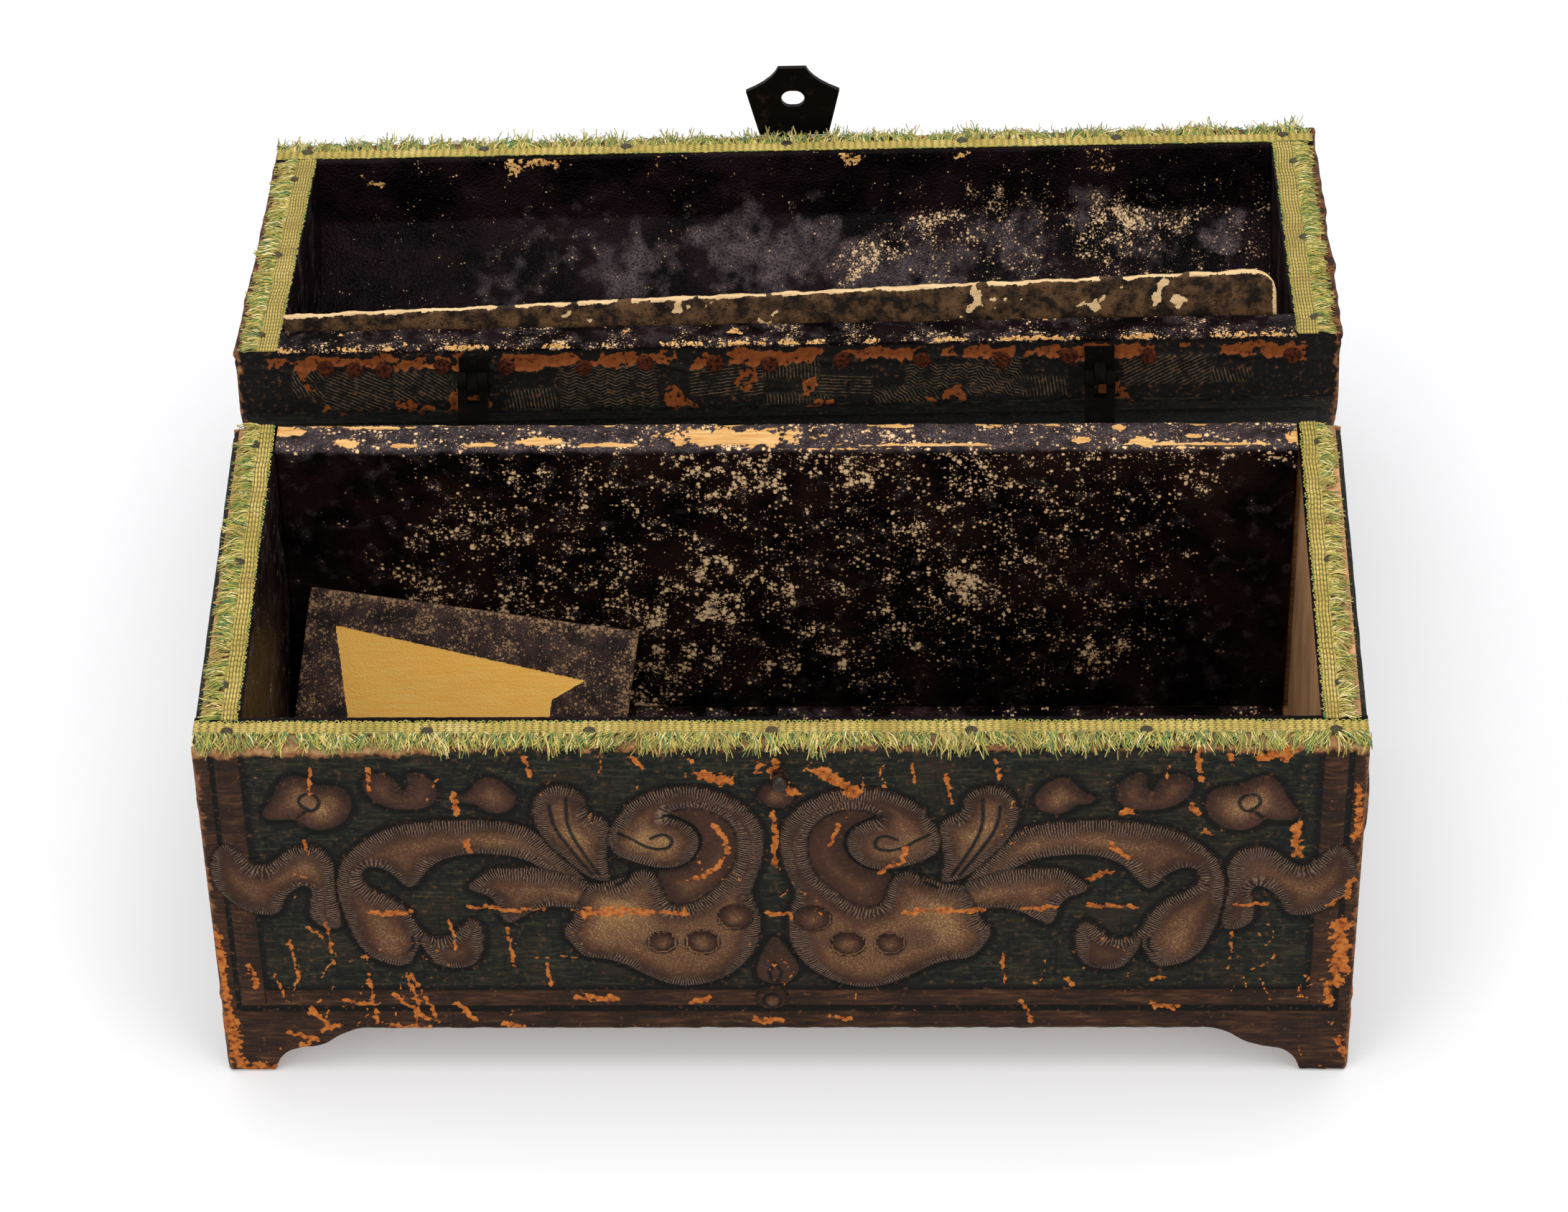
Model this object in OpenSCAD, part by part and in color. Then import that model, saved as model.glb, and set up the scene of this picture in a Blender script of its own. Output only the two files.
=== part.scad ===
// Small leather-covered wooden casket with a domed lid, standing open.
// Millimetres, +Z up. The origin lies on the table, under the middle of the hinge line.
// The lid is drawn shut, then turned open about the hinge line.

/* [Casket] */
// Width of the casket over its leather
body_w = 240; // [210:1:280]
// Depth of the casket over its leather
body_d = 102; // [90:1:120]
// Height of the base, from the table to its bare rim
base_h = 95.3; // [80:0.1:120]
// Thickness of the wall boards
board_t = 7.3; // [6:0.1:9]
// Thickness of the floor board
floor_t = 6; // [4:0.5:8]
// Thickness of the leather covering
leather_t = 1.2; // [0.8:0.1:1.5]
// Thickness of the lining
lining_t = 1; // [0.6:0.1:1.4]
// How far the leather stops above the table
leather_lift = 0.5; // [0.2:0.1:1]

/* [Feet] */
// Clear height under the rail between the feet
foot_h = 13.3; // [10:0.1:16]
// Width of a foot at the table
foot_w = 10.3; // [8.8:0.1:12]
// Reach of a foot's bracket along the rail, from the corner
bracket_l = 30; // [24:1:32]
// Height of the bracket's toe curve
toe_h = 7.5; // [5:0.1:8]
// Length of the bracket's toe curve
toe_l = 7.5; // [6:0.1:9]

/* [Lid] */
// Height of the lid's straight walls
lid_wall_h = 15; // [14:0.5:20]
// Rise of the dome above the straight walls
dome_rise = 30; // [24:1:36]
// How far the lid stands open, degrees
lid_open = 191.3; // [180:0.1:193]
// Free gap between the two fringed braids when the lid is shut
shut_gap = 0.6; // [0.5:0.1:1.5]

/* [Fringed braid] */
// Thickness of the woven braid
braid_t = 0.6; // [0.4:0.1:0.8]
// Width of the woven braid
braid_w = 4.6; // [4:0.1:5.5]
// Thickness of the cut fringe
fringe_t = 0.5; // [0.3:0.1:0.6]
// How far the fringe hangs over the leather
fringe_over = 0.4; // [0:0.1:0.8]

/* [Hinges] */
// Distance of each hinge from the middle
hinge_x = 68; // [50:1:85]
// Distance of the hinge line behind the casket
hinge_out = 5.25; // [5:0.05:7]
// Height of the hinge line above the lid's rim
hinge_up = 6.3; // [5.5:0.1:7.5]
// Lean of the hinge line down to the left, degrees
hinge_roll = 0.48; // [0:0.02:0.6]
// Radius of the hinge knuckles
knuckle_r = 1.9; // [1.6:0.1:2.2]
// Radius of the hinge pins
hinge_pin_r = 0.8; // [0.6:0.05:1]
// Length of the middle knuckle
knuckle_l = 2.4; // [2:0.1:3]
// Width of a hinge leaf
leaf_w = 6.5; // [6:0.1:8]
// Thickness of a hinge leaf
leaf_t = 0.8; // [0.6:0.1:1]

/* [Hasp and stud] */
// Distance of the hasp's pivot out from the lid's front
hasp_out = 4.4; // [4.3:0.1:5.2]
// Height of the hasp's pivot above the lid's rim
hasp_up = 3.7; // [3.2:0.1:4.5]
// Thickness of the hasp
hasp_t = 1.2; // [0.8:0.1:1.4]
// Distance from the hasp's pivot to its hole
hasp_hole_l = 12.4; // [12:0.1:14]
// Distance from the hasp's pivot to its tip
hasp_l = 20.8; // [19.5:0.1:22]
// Width of the hasp across its points
hasp_w = 21.7; // [20:0.1:24]
// Lean of the hanging hasp towards the base, degrees
hasp_lean = 7.5; // [4:0.1:7.6]
// Radius of the hasp's knuckles
hasp_knuckle_r = 1.6; // [1.4:0.1:1.7]
// Radius of the hasp's pin
hasp_pin_r = 0.7; // [0.5:0.05:0.8]
// Radius of the stud's round head
stud_r = 1.83; // [1.5:0.01:1.9]
// Distance of the stud's head out from the leather
stud_out = 2.9; // [2.6:0.1:3.4]

/* [Nails] */
// Number of braid nails along the front
front_nails = 7; // [5:1:9]
// Number of braid nails along a side
side_nails = 3; // [2:1:4]
// Radius of a braid nail's head
braid_nail_r = 1.3; // [1:0.1:1.5]
// Radius of the rusty heads behind the lid
back_nail_r = 2; // [1.2:0.1:2.1]
// Radius of the nails that hold the boards
board_nail_r = 0.9; // [0.7:0.1:1.1]

/* [Loose linings] */
// Length of the lining board that lies loose in the base
loose_l = 73; // [60:1:80]
// Width of the loose lining board
loose_w = 36; // [30:1:40]
// Thickness of the loose lining boards
loose_t = 1.6; // [1.2:0.1:2]
// Lean of the board in the base, degrees from upright
loose_lean = 35; // [30:1:40]
// Turn of the board in the base in its own plane, degrees
loose_turn = 8; // [4:1:10]
// How far the lid's loose lining rises out of the lid at its high end
flap_rise = 10.5; // [8:0.5:14]
// Turn of the lid's loose lining, degrees
flap_turn = 1.9; // [1:0.1:2.4]

/* [Hidden] */
$fn = 48;

// Clearances, named by what they part
bore_play = 0.05;      // pin in its knuckle, nail in its hole
knuckle_gap = 0.15;    // between knuckles that turn on one pin
seat_gap = 0.3;        // loose pieces on what carries them
cut = 1;               // overshoot of a cutting solid

// Walls
wall_t = leather_t + board_t + lining_t;
half_w = body_w / 2;
half_d = body_d / 2;
in_w = half_w - leather_t - board_t;       // bare inside, half width
in_d = half_d - leather_t - board_t;       // bare inside, half depth
floor_z = foot_h + floor_t;                // top of the floor board
rim_lining_t = 0.8 * lining_t;             // the lining wrapped over the hinge side's rims
floor_lining_z = floor_z + lining_t;

// Lid, drawn shut
lid_z = base_h + 2 * braid_t + shut_gap;   // the lid's bare rim
dome_half = half_d - leather_t;
dome_board_rise = dome_rise - leather_t;
dome_board_r = (dome_half * dome_half + dome_board_rise * dome_board_rise) / (2 * dome_board_rise);
dome_drop = dome_board_r - dome_board_rise;  // the arc's centre below the spring line
dome_in_r = norm([in_d, dome_drop]);       // the dome meets the walls' inner faces
lid_h = lid_wall_h + dome_rise;

// Hinge line and hasp, in the shut lid's frame
hinge_y = half_d + hinge_out;
hinge_z = lid_z + hinge_up;
hasp_y = -half_d - hasp_out;
hasp_z = lid_z + hasp_up;
stud_y = hasp_y + hasp_hole_l * sin(hasp_lean);
stud_z = hasp_z - hasp_hole_l * cos(hasp_lean);
hasp_knuckle_half = 4;
hasp_leaf_w = 18;
hasp_leaf_h = 10.5;
hasp_leaf_t = 0.9;
hasp_neck_w = 16;
hasp_shoulder = hasp_knuckle_r + 0.8;
hasp_point_l = 14.5;                       // pivot to the hasp's side points
hasp_tip_w = 6.5;
hasp_hole_r = 2.2;
hasp_hole_long = 1;                        // the hole is this much wider than high
hasp_nail_r = 0.9;

// Nails
shank_r = 0.5;
shank_l = 6;
head_proud = 0.3;
back_head_proud = 0.5;
board_nail_l = 16;
board_head_t = 0.8;
board_nail_edge = 10;
trim_nail_inset = 4.9;                     // from the leather's face to a braid nail
corner_nail_inset = 7;                     // from the casket's end to the first nail
dome_nail_sink = 0.1;                      // flat heads under the curved face
back_nail_up = 4.4;                        // from the lid's rim to the rusty nails
nail_wander = [0, 3.4, -1.2, -1.6, 1.4, -0.6, 0.3, 0.9, -0.8];
back_nail_places = [-100.4, -94.1, -87.7, -74.9, -61, -44.1, -30.7, -15.4, -3.7, 12.2, 29.6, 46.9,
                    61.4, 78.7, 109.8] / 120;      // in half widths, as the object has them

LEATHER = "#2b2119";
WOOD = "#a4703c";
LINING = "#241d26";
BRAID = "#8f9a45";
IRON = "#2c2826";
RUST = "#5a3526";

// Placing

module in_place() { translate([0, -hinge_y, 0]) children(); }

module turned_open() {
  translate([0, hinge_y, hinge_z]) rotate([0, -hinge_roll, 0]) rotate([-lid_open, 0, 0])
    rotate([0, hinge_roll, 0]) translate([0, -hinge_y, -hinge_z]) children();
}

module on_lid() { in_place() turned_open() children(); }

// A place on the hinge line, x along the line
module on_hinge_line(x) {
  translate([0, hinge_y, hinge_z]) rotate([0, -hinge_roll, 0]) translate([x, 0, 0]) children();
}

// Flat shapes stood up: across the casket, and from front to back
module stand_across(y, t) { translate([0, y + t, 0]) rotate([90, 0, 0]) linear_extrude(t) children(); }
module stand_deep(x, t) { translate([x, 0, 0]) rotate([90, 0, 90]) linear_extrude(t) children(); }
module rod(r, x0, x1) { translate([x0, 0, 0]) rotate([0, 90, 0]) cylinder(r = r, h = x1 - x0); }

module block(x0, x1, y0, y1, z0, z1) {
  translate([x0, y0, z0]) cube([x1 - x0, y1 - y0, z1 - z0]);
}

// Bracket feet

function ease(u) = u * u * (3 - 2 * u);

// From the foot's inner corner up to the rail, measured from the casket's corner
function bracket() = concat(
  [for (a = [0:15:90]) [foot_w + toe_l * (1 - cos(a)), toe_h * sin(a)]],
  [for (u = [0.125:0.125:1])
    [foot_w + toe_l + (bracket_l - foot_w - toe_l) * u, toe_h + (foot_h - toe_h) * ease(u)]]);

module foot_arch(l) {
  side = bracket();
  n = len(side);
  polygon(concat(
    [[foot_w - l / 2, -cut]],
    [for (p = side) [p[0] - l / 2, p[1]]],
    [for (i = [n - 1:-1:0]) [l / 2 - side[i][0], side[i][1]]],
    [[l / 2 - foot_w, -cut]]));
}

// An upright face of the base, from x0 to x1 on a side of length l, with its feet
module footed_face(l, x0, x1, z0) {
  difference() {
    translate([x0, z0]) square([x1 - x0, base_h - z0]);
    foot_arch(l);
  }
}

// Nails, each pointing down with the underside of its head at z = 0

module nail(head_r, proud, shank = shank_l) {
  cylinder(r1 = head_r, r2 = 0.75 * head_r, h = proud);
  translate([0, 0, -shank]) cylinder(r = shank_r, h = shank);
}

module nail_hole(shank = shank_l) {
  translate([0, 0, -shank - bore_play]) cylinder(r = shank_r + bore_play, h = shank + cut);
}

// A plain wire nail with a flush head, for the boards
module board_nail() {
  translate([0, 0, -board_head_t]) cylinder(r = 2 * board_nail_r, h = board_head_t);
  translate([0, 0, -board_nail_l]) cylinder(r = board_nail_r, h = board_nail_l);
}

module board_nail_hole() {
  translate([0, 0, -board_head_t - bore_play])
    cylinder(r = 2 * board_nail_r + bore_play, h = board_head_t + bore_play + cut);
  translate([0, 0, -board_nail_l - bore_play]) cylinder(r = board_nail_r + bore_play, h = board_nail_l);
}

// Places of the braid nails on a rim whose braid faces up at height z
module at_front_nails(z) {
  run = body_w - 2 * corner_nail_inset;
  for (i = [0:front_nails - 1])
    translate([run * (i / (front_nails - 1) - 0.5) + nail_wander[i], -half_d + trim_nail_inset, z])
      children();
}

module at_side_nails(side, z) {
  run = body_d - 3 * corner_nail_inset - trim_nail_inset;
  for (i = [0:side_nails - 1])
    translate([side * (half_w - trim_nail_inset),
               half_d - corner_nail_inset - run * i / (side_nails - 1), z])
      children();
}

module at_all_braid_nails(z) {
  at_front_nails(z) children();
  at_side_nails(-1, z) children();
  at_side_nails(1, z) children();
}

module at_lid_braid_nails() {
  translate([0, 0, lid_z]) mirror([0, 0, 1]) at_all_braid_nails(braid_t) children();
}

// Boards of one box, nailed through the front and back into the ends at the heights given
module at_corner_nails(heights) {
  for (z = heights, x = [-1, 1]) {
    translate([x * (in_w + board_t / 2), leather_t - half_d, z]) rotate([90, 0, 0]) children();
    translate([x * (in_w + board_t / 2), half_d - leather_t, z]) rotate([-90, 0, 0]) children();
  }
}

module at_floor_nails() {
  for (x = [-1:1:1], y = [-1, 1])
    translate([x * (in_w - 2 * board_nail_edge), y * (half_d - leather_t), foot_h + floor_t / 2])
      rotate([-90 * y, 0, 0]) children();
}

base_nail_heights = [floor_z + board_nail_edge, (floor_z + base_h) / 2, base_h - board_nail_edge];
lid_nail_heights = [lid_z + lid_wall_h / 2];

// Base boards

module base_long_board(y) {
  difference() {
    stand_across(y, board_t) footed_face(body_w, leather_t - half_w, half_w - leather_t, 0);
    at_corner_nails(base_nail_heights) board_nail_hole();
    at_floor_nails() board_nail_hole();
    at_all_braid_nails(base_h + braid_t) nail_hole();
  }
}

module base_end_board(x) {
  difference() {
    stand_deep(x, board_t) footed_face(body_d, -in_d, in_d, 0);
    at_corner_nails(base_nail_heights) board_nail_hole();
    at_all_braid_nails(base_h + braid_t) nail_hole();
  }
}

module base_front_board() {
  in_place() color(WOOD) difference() {
    base_long_board(leather_t - half_d);
    stud_hole();
  }
}

module base_back_board() {
  in_place() color(WOOD) difference() {
    base_long_board(in_d);
    at_base_hinge_nails() nail_hole();
  }
}

module base_left_board() { in_place() color(WOOD) base_end_board(leather_t - half_w); }
module base_right_board() { in_place() color(WOOD) base_end_board(in_w); }

module base_floor_board() {
  in_place() color(WOOD) difference() {
    block(-in_w, in_w, -in_d, in_d, foot_h, floor_z);
    at_floor_nails() board_nail_hole();
  }
}

// Base leather, worn short of the table

module base_long_leather(y) {
  stand_across(y, leather_t) footed_face(body_w, -half_w, half_w, leather_lift);
}

module base_end_leather(x) {
  stand_deep(x, leather_t) footed_face(body_d, leather_t - half_d, half_d - leather_t, leather_lift);
}

module base_front_leather() {
  in_place() color(LEATHER) difference() {
    union() {
      base_long_leather(-half_d);
      front_relief();
    }
    stud_hole();
  }
}

module base_back_leather() {
  in_place() color(LEATHER) difference() {
    base_long_leather(half_d - leather_t);
    at_base_hinge_nails() nail_hole();
  }
}

module base_left_leather() { in_place() color(LEATHER) base_end_leather(-half_w); }
module base_right_leather() { in_place() color(LEATHER) base_end_leather(half_w - leather_t); }

// Carved foliage of the front: outlines of its left half, drawn for a face 240 wide and 95.3 high

relief_h = 0.5;
boss_h = 0.8;
drawn_half_w = 120;
drawn_h = 95.3;
fold_x = -0.9;                             // the halves meet a little left of the middle

// Long outer stem, curled round its dark eye
long_stem = [
  [-40, 55], [-43, 61.5], [-49, 70], [-53, 73.5], [-60, 75], [-70, 75.2], [-78, 74.3], [-84, 71.5],
  [-89, 67], [-92, 62], [-93, 55], [-92, 48], [-90.5, 42], [-88, 35.5], [-83, 32.5], [-79, 32.5],
  [-76.5, 39.5], [-74, 41], [-76.5, 43.5], [-77.5, 47], [-79, 50], [-82, 53], [-85.5, 55], [-88, 58],
  [-87, 61.5], [-84, 62], [-81, 60], [-79.3, 57], [-77.5, 55.3], [-75.6, 57.5], [-73, 62], [-69, 64.8],
  [-64, 65.8], [-60, 65.5], [-54, 64.5], [-49.5, 61], [-45, 57]];
// Leaf at the stem's tail
tail_leaf = [
  [-76.5, 39], [-75, 36], [-73, 32], [-69, 31.5], [-65.5, 32.5], [-63.5, 36], [-62.8, 41], [-63.5, 45],
  [-65.5, 46.5], [-67.5, 44], [-70, 41], [-73, 40.5]];
// Forked lobe between stem and volute
forked_lobe = [
  [-40, 57], [-47, 61], [-53, 61.5], [-60, 61.5], [-64, 58], [-66, 55], [-60, 53], [-58.5, 44.5],
  [-55, 46.5], [-52, 49], [-48, 50.3], [-43, 49.5], [-38, 52]];
// Fan of leaf over the volute
fan_lobe = [
  [-35.5, 57], [-36.5, 62], [-36.5, 66], [-35, 72], [-36.5, 76], [-40, 77], [-40.5, 83], [-45, 85.5],
  [-49, 84], [-51, 80], [-51, 75], [-49, 69.5], [-46, 65.5], [-43, 61.5], [-40, 58.5]];
// Volute, from its round end over and down to the foot of the leaf
volute = [
  [-33.5, 76], [-32, 79], [-28, 82.5], [-22, 84.7], [-15, 84.5], [-9, 81], [-5, 76], [-3.5, 71],
  [-3.7, 66], [-5, 60], [-7, 54], [-5.5, 50], [-4.7, 45], [-5.5, 38], [-9, 32], [-14, 28], [-20, 26],
  [-25, 27], [-29, 29.5], [-33, 32.5], [-37, 34.5], [-42, 35], [-44, 38], [-46.5, 43], [-44, 46],
  [-43, 49.5], [-41, 56], [-36.5, 57], [-32.3, 58.5], [-29, 61], [-26, 58.8], [-25, 55], [-24, 51],
  [-21.5, 50], [-17.5, 51.5], [-14, 55.5], [-10.5, 60], [-9, 65], [-9, 71], [-11, 75.5], [-15, 78.5],
  [-20, 79], [-24, 77.2], [-18.8, 74.5], [-16.3, 70], [-17.5, 65], [-20.5, 61.8], [-25, 60.9],
  [-30, 62.5], [-34, 64.7], [-36, 68.5], [-35.3, 72.5]];
// Leaf that lies over the frame
far_leaf = [
  [-93, 62], [-94.5, 66], [-98, 68], [-102, 67], [-105, 63.5], [-108, 61.5], [-111, 64], [-113, 67.5],
  [-115.5, 68.7], [-118, 66], [-118.8, 60], [-118, 55], [-115, 51], [-111, 48], [-107, 47.5],
  [-105, 49], [-104, 53], [-101, 56], [-99, 56.5], [-97.7, 54.5], [-99, 51], [-99, 46], [-96, 43.5],
  [-93, 43.5], [-93.4, 50], [-94, 56]];
// Three small leaves along the top
small_leaves = [
  [
    [-107, 77.5], [-104.5, 81], [-103, 85.5], [-100.5, 88.3], [-97, 87.5], [-95, 85], [-92, 85.3],
    [-89, 84], [-88, 80], [-89, 76], [-92, 73], [-96, 72.2], [-99, 74], [-100, 76], [-103, 75.3],
    [-106, 75.5]],
  [
    [-86, 85.5], [-84, 88.5], [-80, 88.3], [-78.5, 86], [-77.5, 83], [-76, 85.5], [-76.5, 88.5],
    [-74, 89], [-71, 86.5], [-70, 83], [-71.5, 79.5], [-75, 78.2], [-80, 78.5], [-84, 81]],
  [
    [-67, 82], [-64, 83], [-62, 86.5], [-59.5, 88], [-56, 85.5], [-54, 82], [-55, 78.5], [-58, 77],
    [-61, 77.8], [-62.5, 80], [-65, 80]]];

module scroll_side() {
  polygon(long_stem);
  polygon(tail_leaf);
  polygon(forked_lobe);
  polygon(fan_lobe);
  polygon(volute);
  polygon(far_leaf);
  for (leaf = small_leaves) polygon(leaf);
}

// Round bosses strung along the volute
module boss_side() {
  for (b = [[-10, 47.5, 4], [-17, 40, 3.9], [-25.5, 40, 3.3]]) translate([b[0], b[1]]) circle(r = b[2]);
}

module both_sides() {
  children();
  translate([2 * fold_x, 0]) mirror([1, 0]) children();
}

module front_relief() {
  scale([half_w / drawn_half_w, 1, base_h / drawn_h]) {
    stand_across(-half_d - relief_h, relief_h) both_sides() scroll_side();
    stand_across(-half_d - boss_h, boss_h) both_sides() boss_side();
  }
}

// Linings of the base. The right end has lost its own

module base_front_lining() {
  in_place() color(LINING) block(-in_w, in_w, -in_d, lining_t - in_d, floor_lining_z, base_h);
}

module base_back_lining() {
  in_place() color(LINING) union() {
    block(-in_w, in_w, in_d - lining_t, in_d, floor_lining_z, base_h);
    block(-in_w + lining_t, in_w - lining_t, in_d - lining_t, half_d, base_h, base_h + rim_lining_t);
  }
}

module base_left_lining() {
  in_place() color(LINING)
    block(-in_w, lining_t - in_w, lining_t - in_d, in_d - lining_t, floor_lining_z, base_h);
}

module base_floor_lining() {
  in_place() color(LINING) block(-in_w, in_w, -in_d, in_d, floor_z, floor_lining_z);
}

// A piece of lining board that has come loose. Its low corner stands on the floor and its top
// corner leans on the back lining
loose_high = loose_l * sin(loose_turn) + loose_w * cos(loose_turn);   // its height in its own plane
loose_back = in_d - lining_t - seat_gap - loose_t * cos(loose_lean);

module loose_lining_board() {
  in_place() color("#8a6a3a")
    translate([seat_gap + lining_t - in_w, loose_back, floor_lining_z + seat_gap
               + loose_high * cos(loose_lean) + loose_t * sin(loose_lean)])
      rotate([-loose_lean, 0, 0]) rotate([0, loose_turn, 0])
        translate([loose_w * sin(loose_turn), 0, -loose_w]) cube([loose_l, loose_t, loose_w]);
}

// Fringed braid on three rims of each half, drawn on a rim at z = 0 with its back down

module long_braid() {
  inner = wall_t - half_d;
  difference() {
    union() {
      block(-half_w, half_w, inner - braid_w, inner, 0, braid_t);
      block(-half_w - fringe_over, half_w + fringe_over,
            -half_d - fringe_over, inner - braid_w, 0, fringe_t);
    }
    at_front_nails(braid_t) nail_hole();
  }
}

module end_braid(side) {
  inner = half_w - wall_t;
  front = wall_t - half_d;
  mirror([side < 0 ? 1 : 0, 0, 0]) difference() {
    union() {
      block(inner, inner + braid_w, front, half_d, 0, braid_t);
      block(inner + braid_w, half_w + fringe_over, front, half_d, 0, fringe_t);
    }
    at_side_nails(1, braid_t) nail_hole();
  }
}

module base_rim() { in_place() color(BRAID) translate([0, 0, base_h]) children(); }
module lid_rim() { on_lid() color(BRAID) translate([0, 0, lid_z]) mirror([0, 0, 1]) children(); }

module base_front_trim() { base_rim() long_braid(); }
module base_left_trim() { base_rim() end_braid(-1); }
module base_right_trim() { base_rim() end_braid(1); }
module lid_front_trim() { lid_rim() long_braid(); }
module lid_left_trim() { lid_rim() end_braid(-1); }
module lid_right_trim() { lid_rim() end_braid(1); }

module base_trim_nails() {
  in_place() color(IRON) at_all_braid_nails(base_h + braid_t) nail(braid_nail_r, head_proud);
}

module lid_trim_nails() { on_lid() color(IRON) at_lid_braid_nails() nail(braid_nail_r, head_proud); }

module base_board_nails() {
  in_place() color(IRON) {
    at_corner_nails(base_nail_heights) board_nail();
    at_floor_nails() board_nail();
  }
}

// Lock stud: a round head on a short neck, driven into the front
stud_neck_r = 1;
stud_root_l = 6;
stud_collar_r = 1.7;
stud_collar_t = 0.5;

module stud_hole() {
  translate([0, cut - half_d, stud_z]) rotate([90, 0, 0])
    translate([0, 0, -stud_root_l - bore_play])
      cylinder(r = stud_neck_r + bore_play, h = stud_root_l + 2 * cut);
}

module lock_stud() {
  in_place() color(IRON) translate([0, -half_d - relief_h, stud_z]) rotate([90, 0, 0]) {
    translate([0, 0, -stud_root_l]) cylinder(r = stud_neck_r, h = stud_root_l + stud_out - relief_h);
    cylinder(r = stud_collar_r, h = stud_collar_t);
    translate([0, 0, stud_out - relief_h]) sphere(r = stud_r);
  }
}

// Hinges: a leaf on the base with two knuckles, a leaf on the lid with the middle one
base_leaf_low = base_h - 18;
base_leaf_high = base_h - 3;
arm_t = 1.6;
outer_knuckle_l = (leaf_w - knuckle_l) / 2 - knuckle_gap;
lid_leaf_low = 2;                          // above the lid's rim
lid_leaf_h = 9;

module at_base_hinge_nails() {
  for (x = [-hinge_x, hinge_x], z = [base_leaf_low + 3, base_leaf_high - 4])
    translate([x, half_d + leaf_t, z]) rotate([-90, 0, 0]) children();
}

module at_lid_hinge_nails() {
  for (x = [-hinge_x, hinge_x])
    translate([x, half_d + leaf_t, lid_z + lid_leaf_low + 1.4]) rotate([-90, 0, 0]) children();
}

// Side outline of the base leaf: the plate, then the arm up and back to the hinge line
module base_leaf_side() {
  translate([half_d, base_leaf_low]) square([leaf_t, base_leaf_high - base_leaf_low]);
  polygon([
    [half_d, base_leaf_high - arm_t], [half_d, base_leaf_high],
    [hinge_y - arm_t, hinge_z - 1], [hinge_y, hinge_z],
    [hinge_y + arm_t / 2, hinge_z - 1], [half_d + 1.8 * arm_t, base_leaf_high - arm_t],
    [half_d + leaf_t, base_leaf_high - 2 * arm_t]]);
  translate([hinge_y, hinge_z]) circle(r = knuckle_r);
}

module hinge_base_leaf(x) {
  in_place() color(IRON) difference() {
    stand_deep(x - leaf_w / 2, leaf_w) base_leaf_side();
    on_hinge_line(x) {
      rod(knuckle_r + hinge_out / 2, -knuckle_l / 2 - knuckle_gap, knuckle_l / 2 + knuckle_gap);
      rod(hinge_pin_r + bore_play, -leaf_w, leaf_w);
    }
    at_base_hinge_nails() nail_hole();
  }
}

module left_hinge_base_leaf() { hinge_base_leaf(-hinge_x); }
module right_hinge_base_leaf() { hinge_base_leaf(hinge_x); }

module hinge_pin(x) {
  in_place() color(IRON) on_hinge_line(x) {
    rod(hinge_pin_r, -leaf_w / 2, leaf_w / 2 + knuckle_gap);
    rod(1.3 * hinge_pin_r, leaf_w / 2 + knuckle_gap, leaf_w / 2 + leaf_t);
  }
}

module left_hinge_pin() { hinge_pin(-hinge_x); }
module right_hinge_pin() { hinge_pin(hinge_x); }

module base_hinge_nails() { in_place() color(IRON) at_base_hinge_nails() nail(hasp_nail_r, head_proud); }

module hinge_lid_leaf(x) {
  on_lid() color(IRON) difference() {
    union() {
      block(x - leaf_w / 2, x + leaf_w / 2, half_d, half_d + leaf_t,
            lid_z + lid_leaf_low, lid_z + lid_leaf_low + lid_leaf_h);
      stand_deep(x - knuckle_l / 2, knuckle_l) {
        translate([half_d, hinge_z - arm_t / 2]) square([hinge_out, arm_t]);
        translate([hinge_y, hinge_z]) circle(r = knuckle_r);
      }
    }
    on_hinge_line(x) rod(hinge_pin_r + bore_play, -leaf_w, leaf_w);
    at_lid_hinge_nails() nail_hole();
  }
}

module left_hinge_lid_leaf() { hinge_lid_leaf(-hinge_x); }
module right_hinge_lid_leaf() { hinge_lid_leaf(hinge_x); }

module lid_hinge_nails() { on_lid() color(IRON) at_lid_hinge_nails() nail(hasp_nail_r, head_proud); }

// Lid sections, seen from the end, rim at z = 0

// Outside of the lid, inset from the leather's face
module lid_outline(inset) {
  half = half_d - inset;
  intersection() {
    translate([-half, 0]) square([2 * half, lid_h + cut]);
    union() {
      translate([-half, 0]) square([2 * half, lid_wall_h]);
      translate([0, lid_wall_h - dome_drop]) circle(r = dome_board_r + leather_t - inset, $fn = 96);
    }
  }
}

// The hollow between the bare walls and under the dome, inset by a lining
module lid_hollow(inset) {
  half = in_d - inset;
  intersection() {
    translate([-half, 0]) square([2 * half, lid_h]);
    union() {
      translate([-half, -cut]) square([2 * half, lid_wall_h + cut]);
      translate([0, lid_wall_h - dome_drop]) circle(r = dome_in_r - inset, $fn = 96);
    }
  }
}

module lid_section(x, t) { translate([0, 0, lid_z]) stand_deep(x, t) children(); }

module at_dome_nails() {
  for (x = [-1, 1], a = [-40, -14, 14, 40])
    translate([x * (in_w + board_t / 2), 0, lid_z + lid_wall_h - dome_drop]) rotate([-a, 0, 0])
      translate([0, 0, dome_board_r - dome_nail_sink]) children();
}

module at_back_nails() {
  clear = leaf_w / 2 + back_nail_r + seat_gap;
  for (i = [0:len(back_nail_places) - 1]) let (x = half_w * back_nail_places[i])
    if (abs(abs(x) - hinge_x) > clear)
      translate([x, half_d, lid_z + back_nail_up + 0.4 * (i % 3)]) rotate([-90, 0, 0]) children();
}

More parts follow.
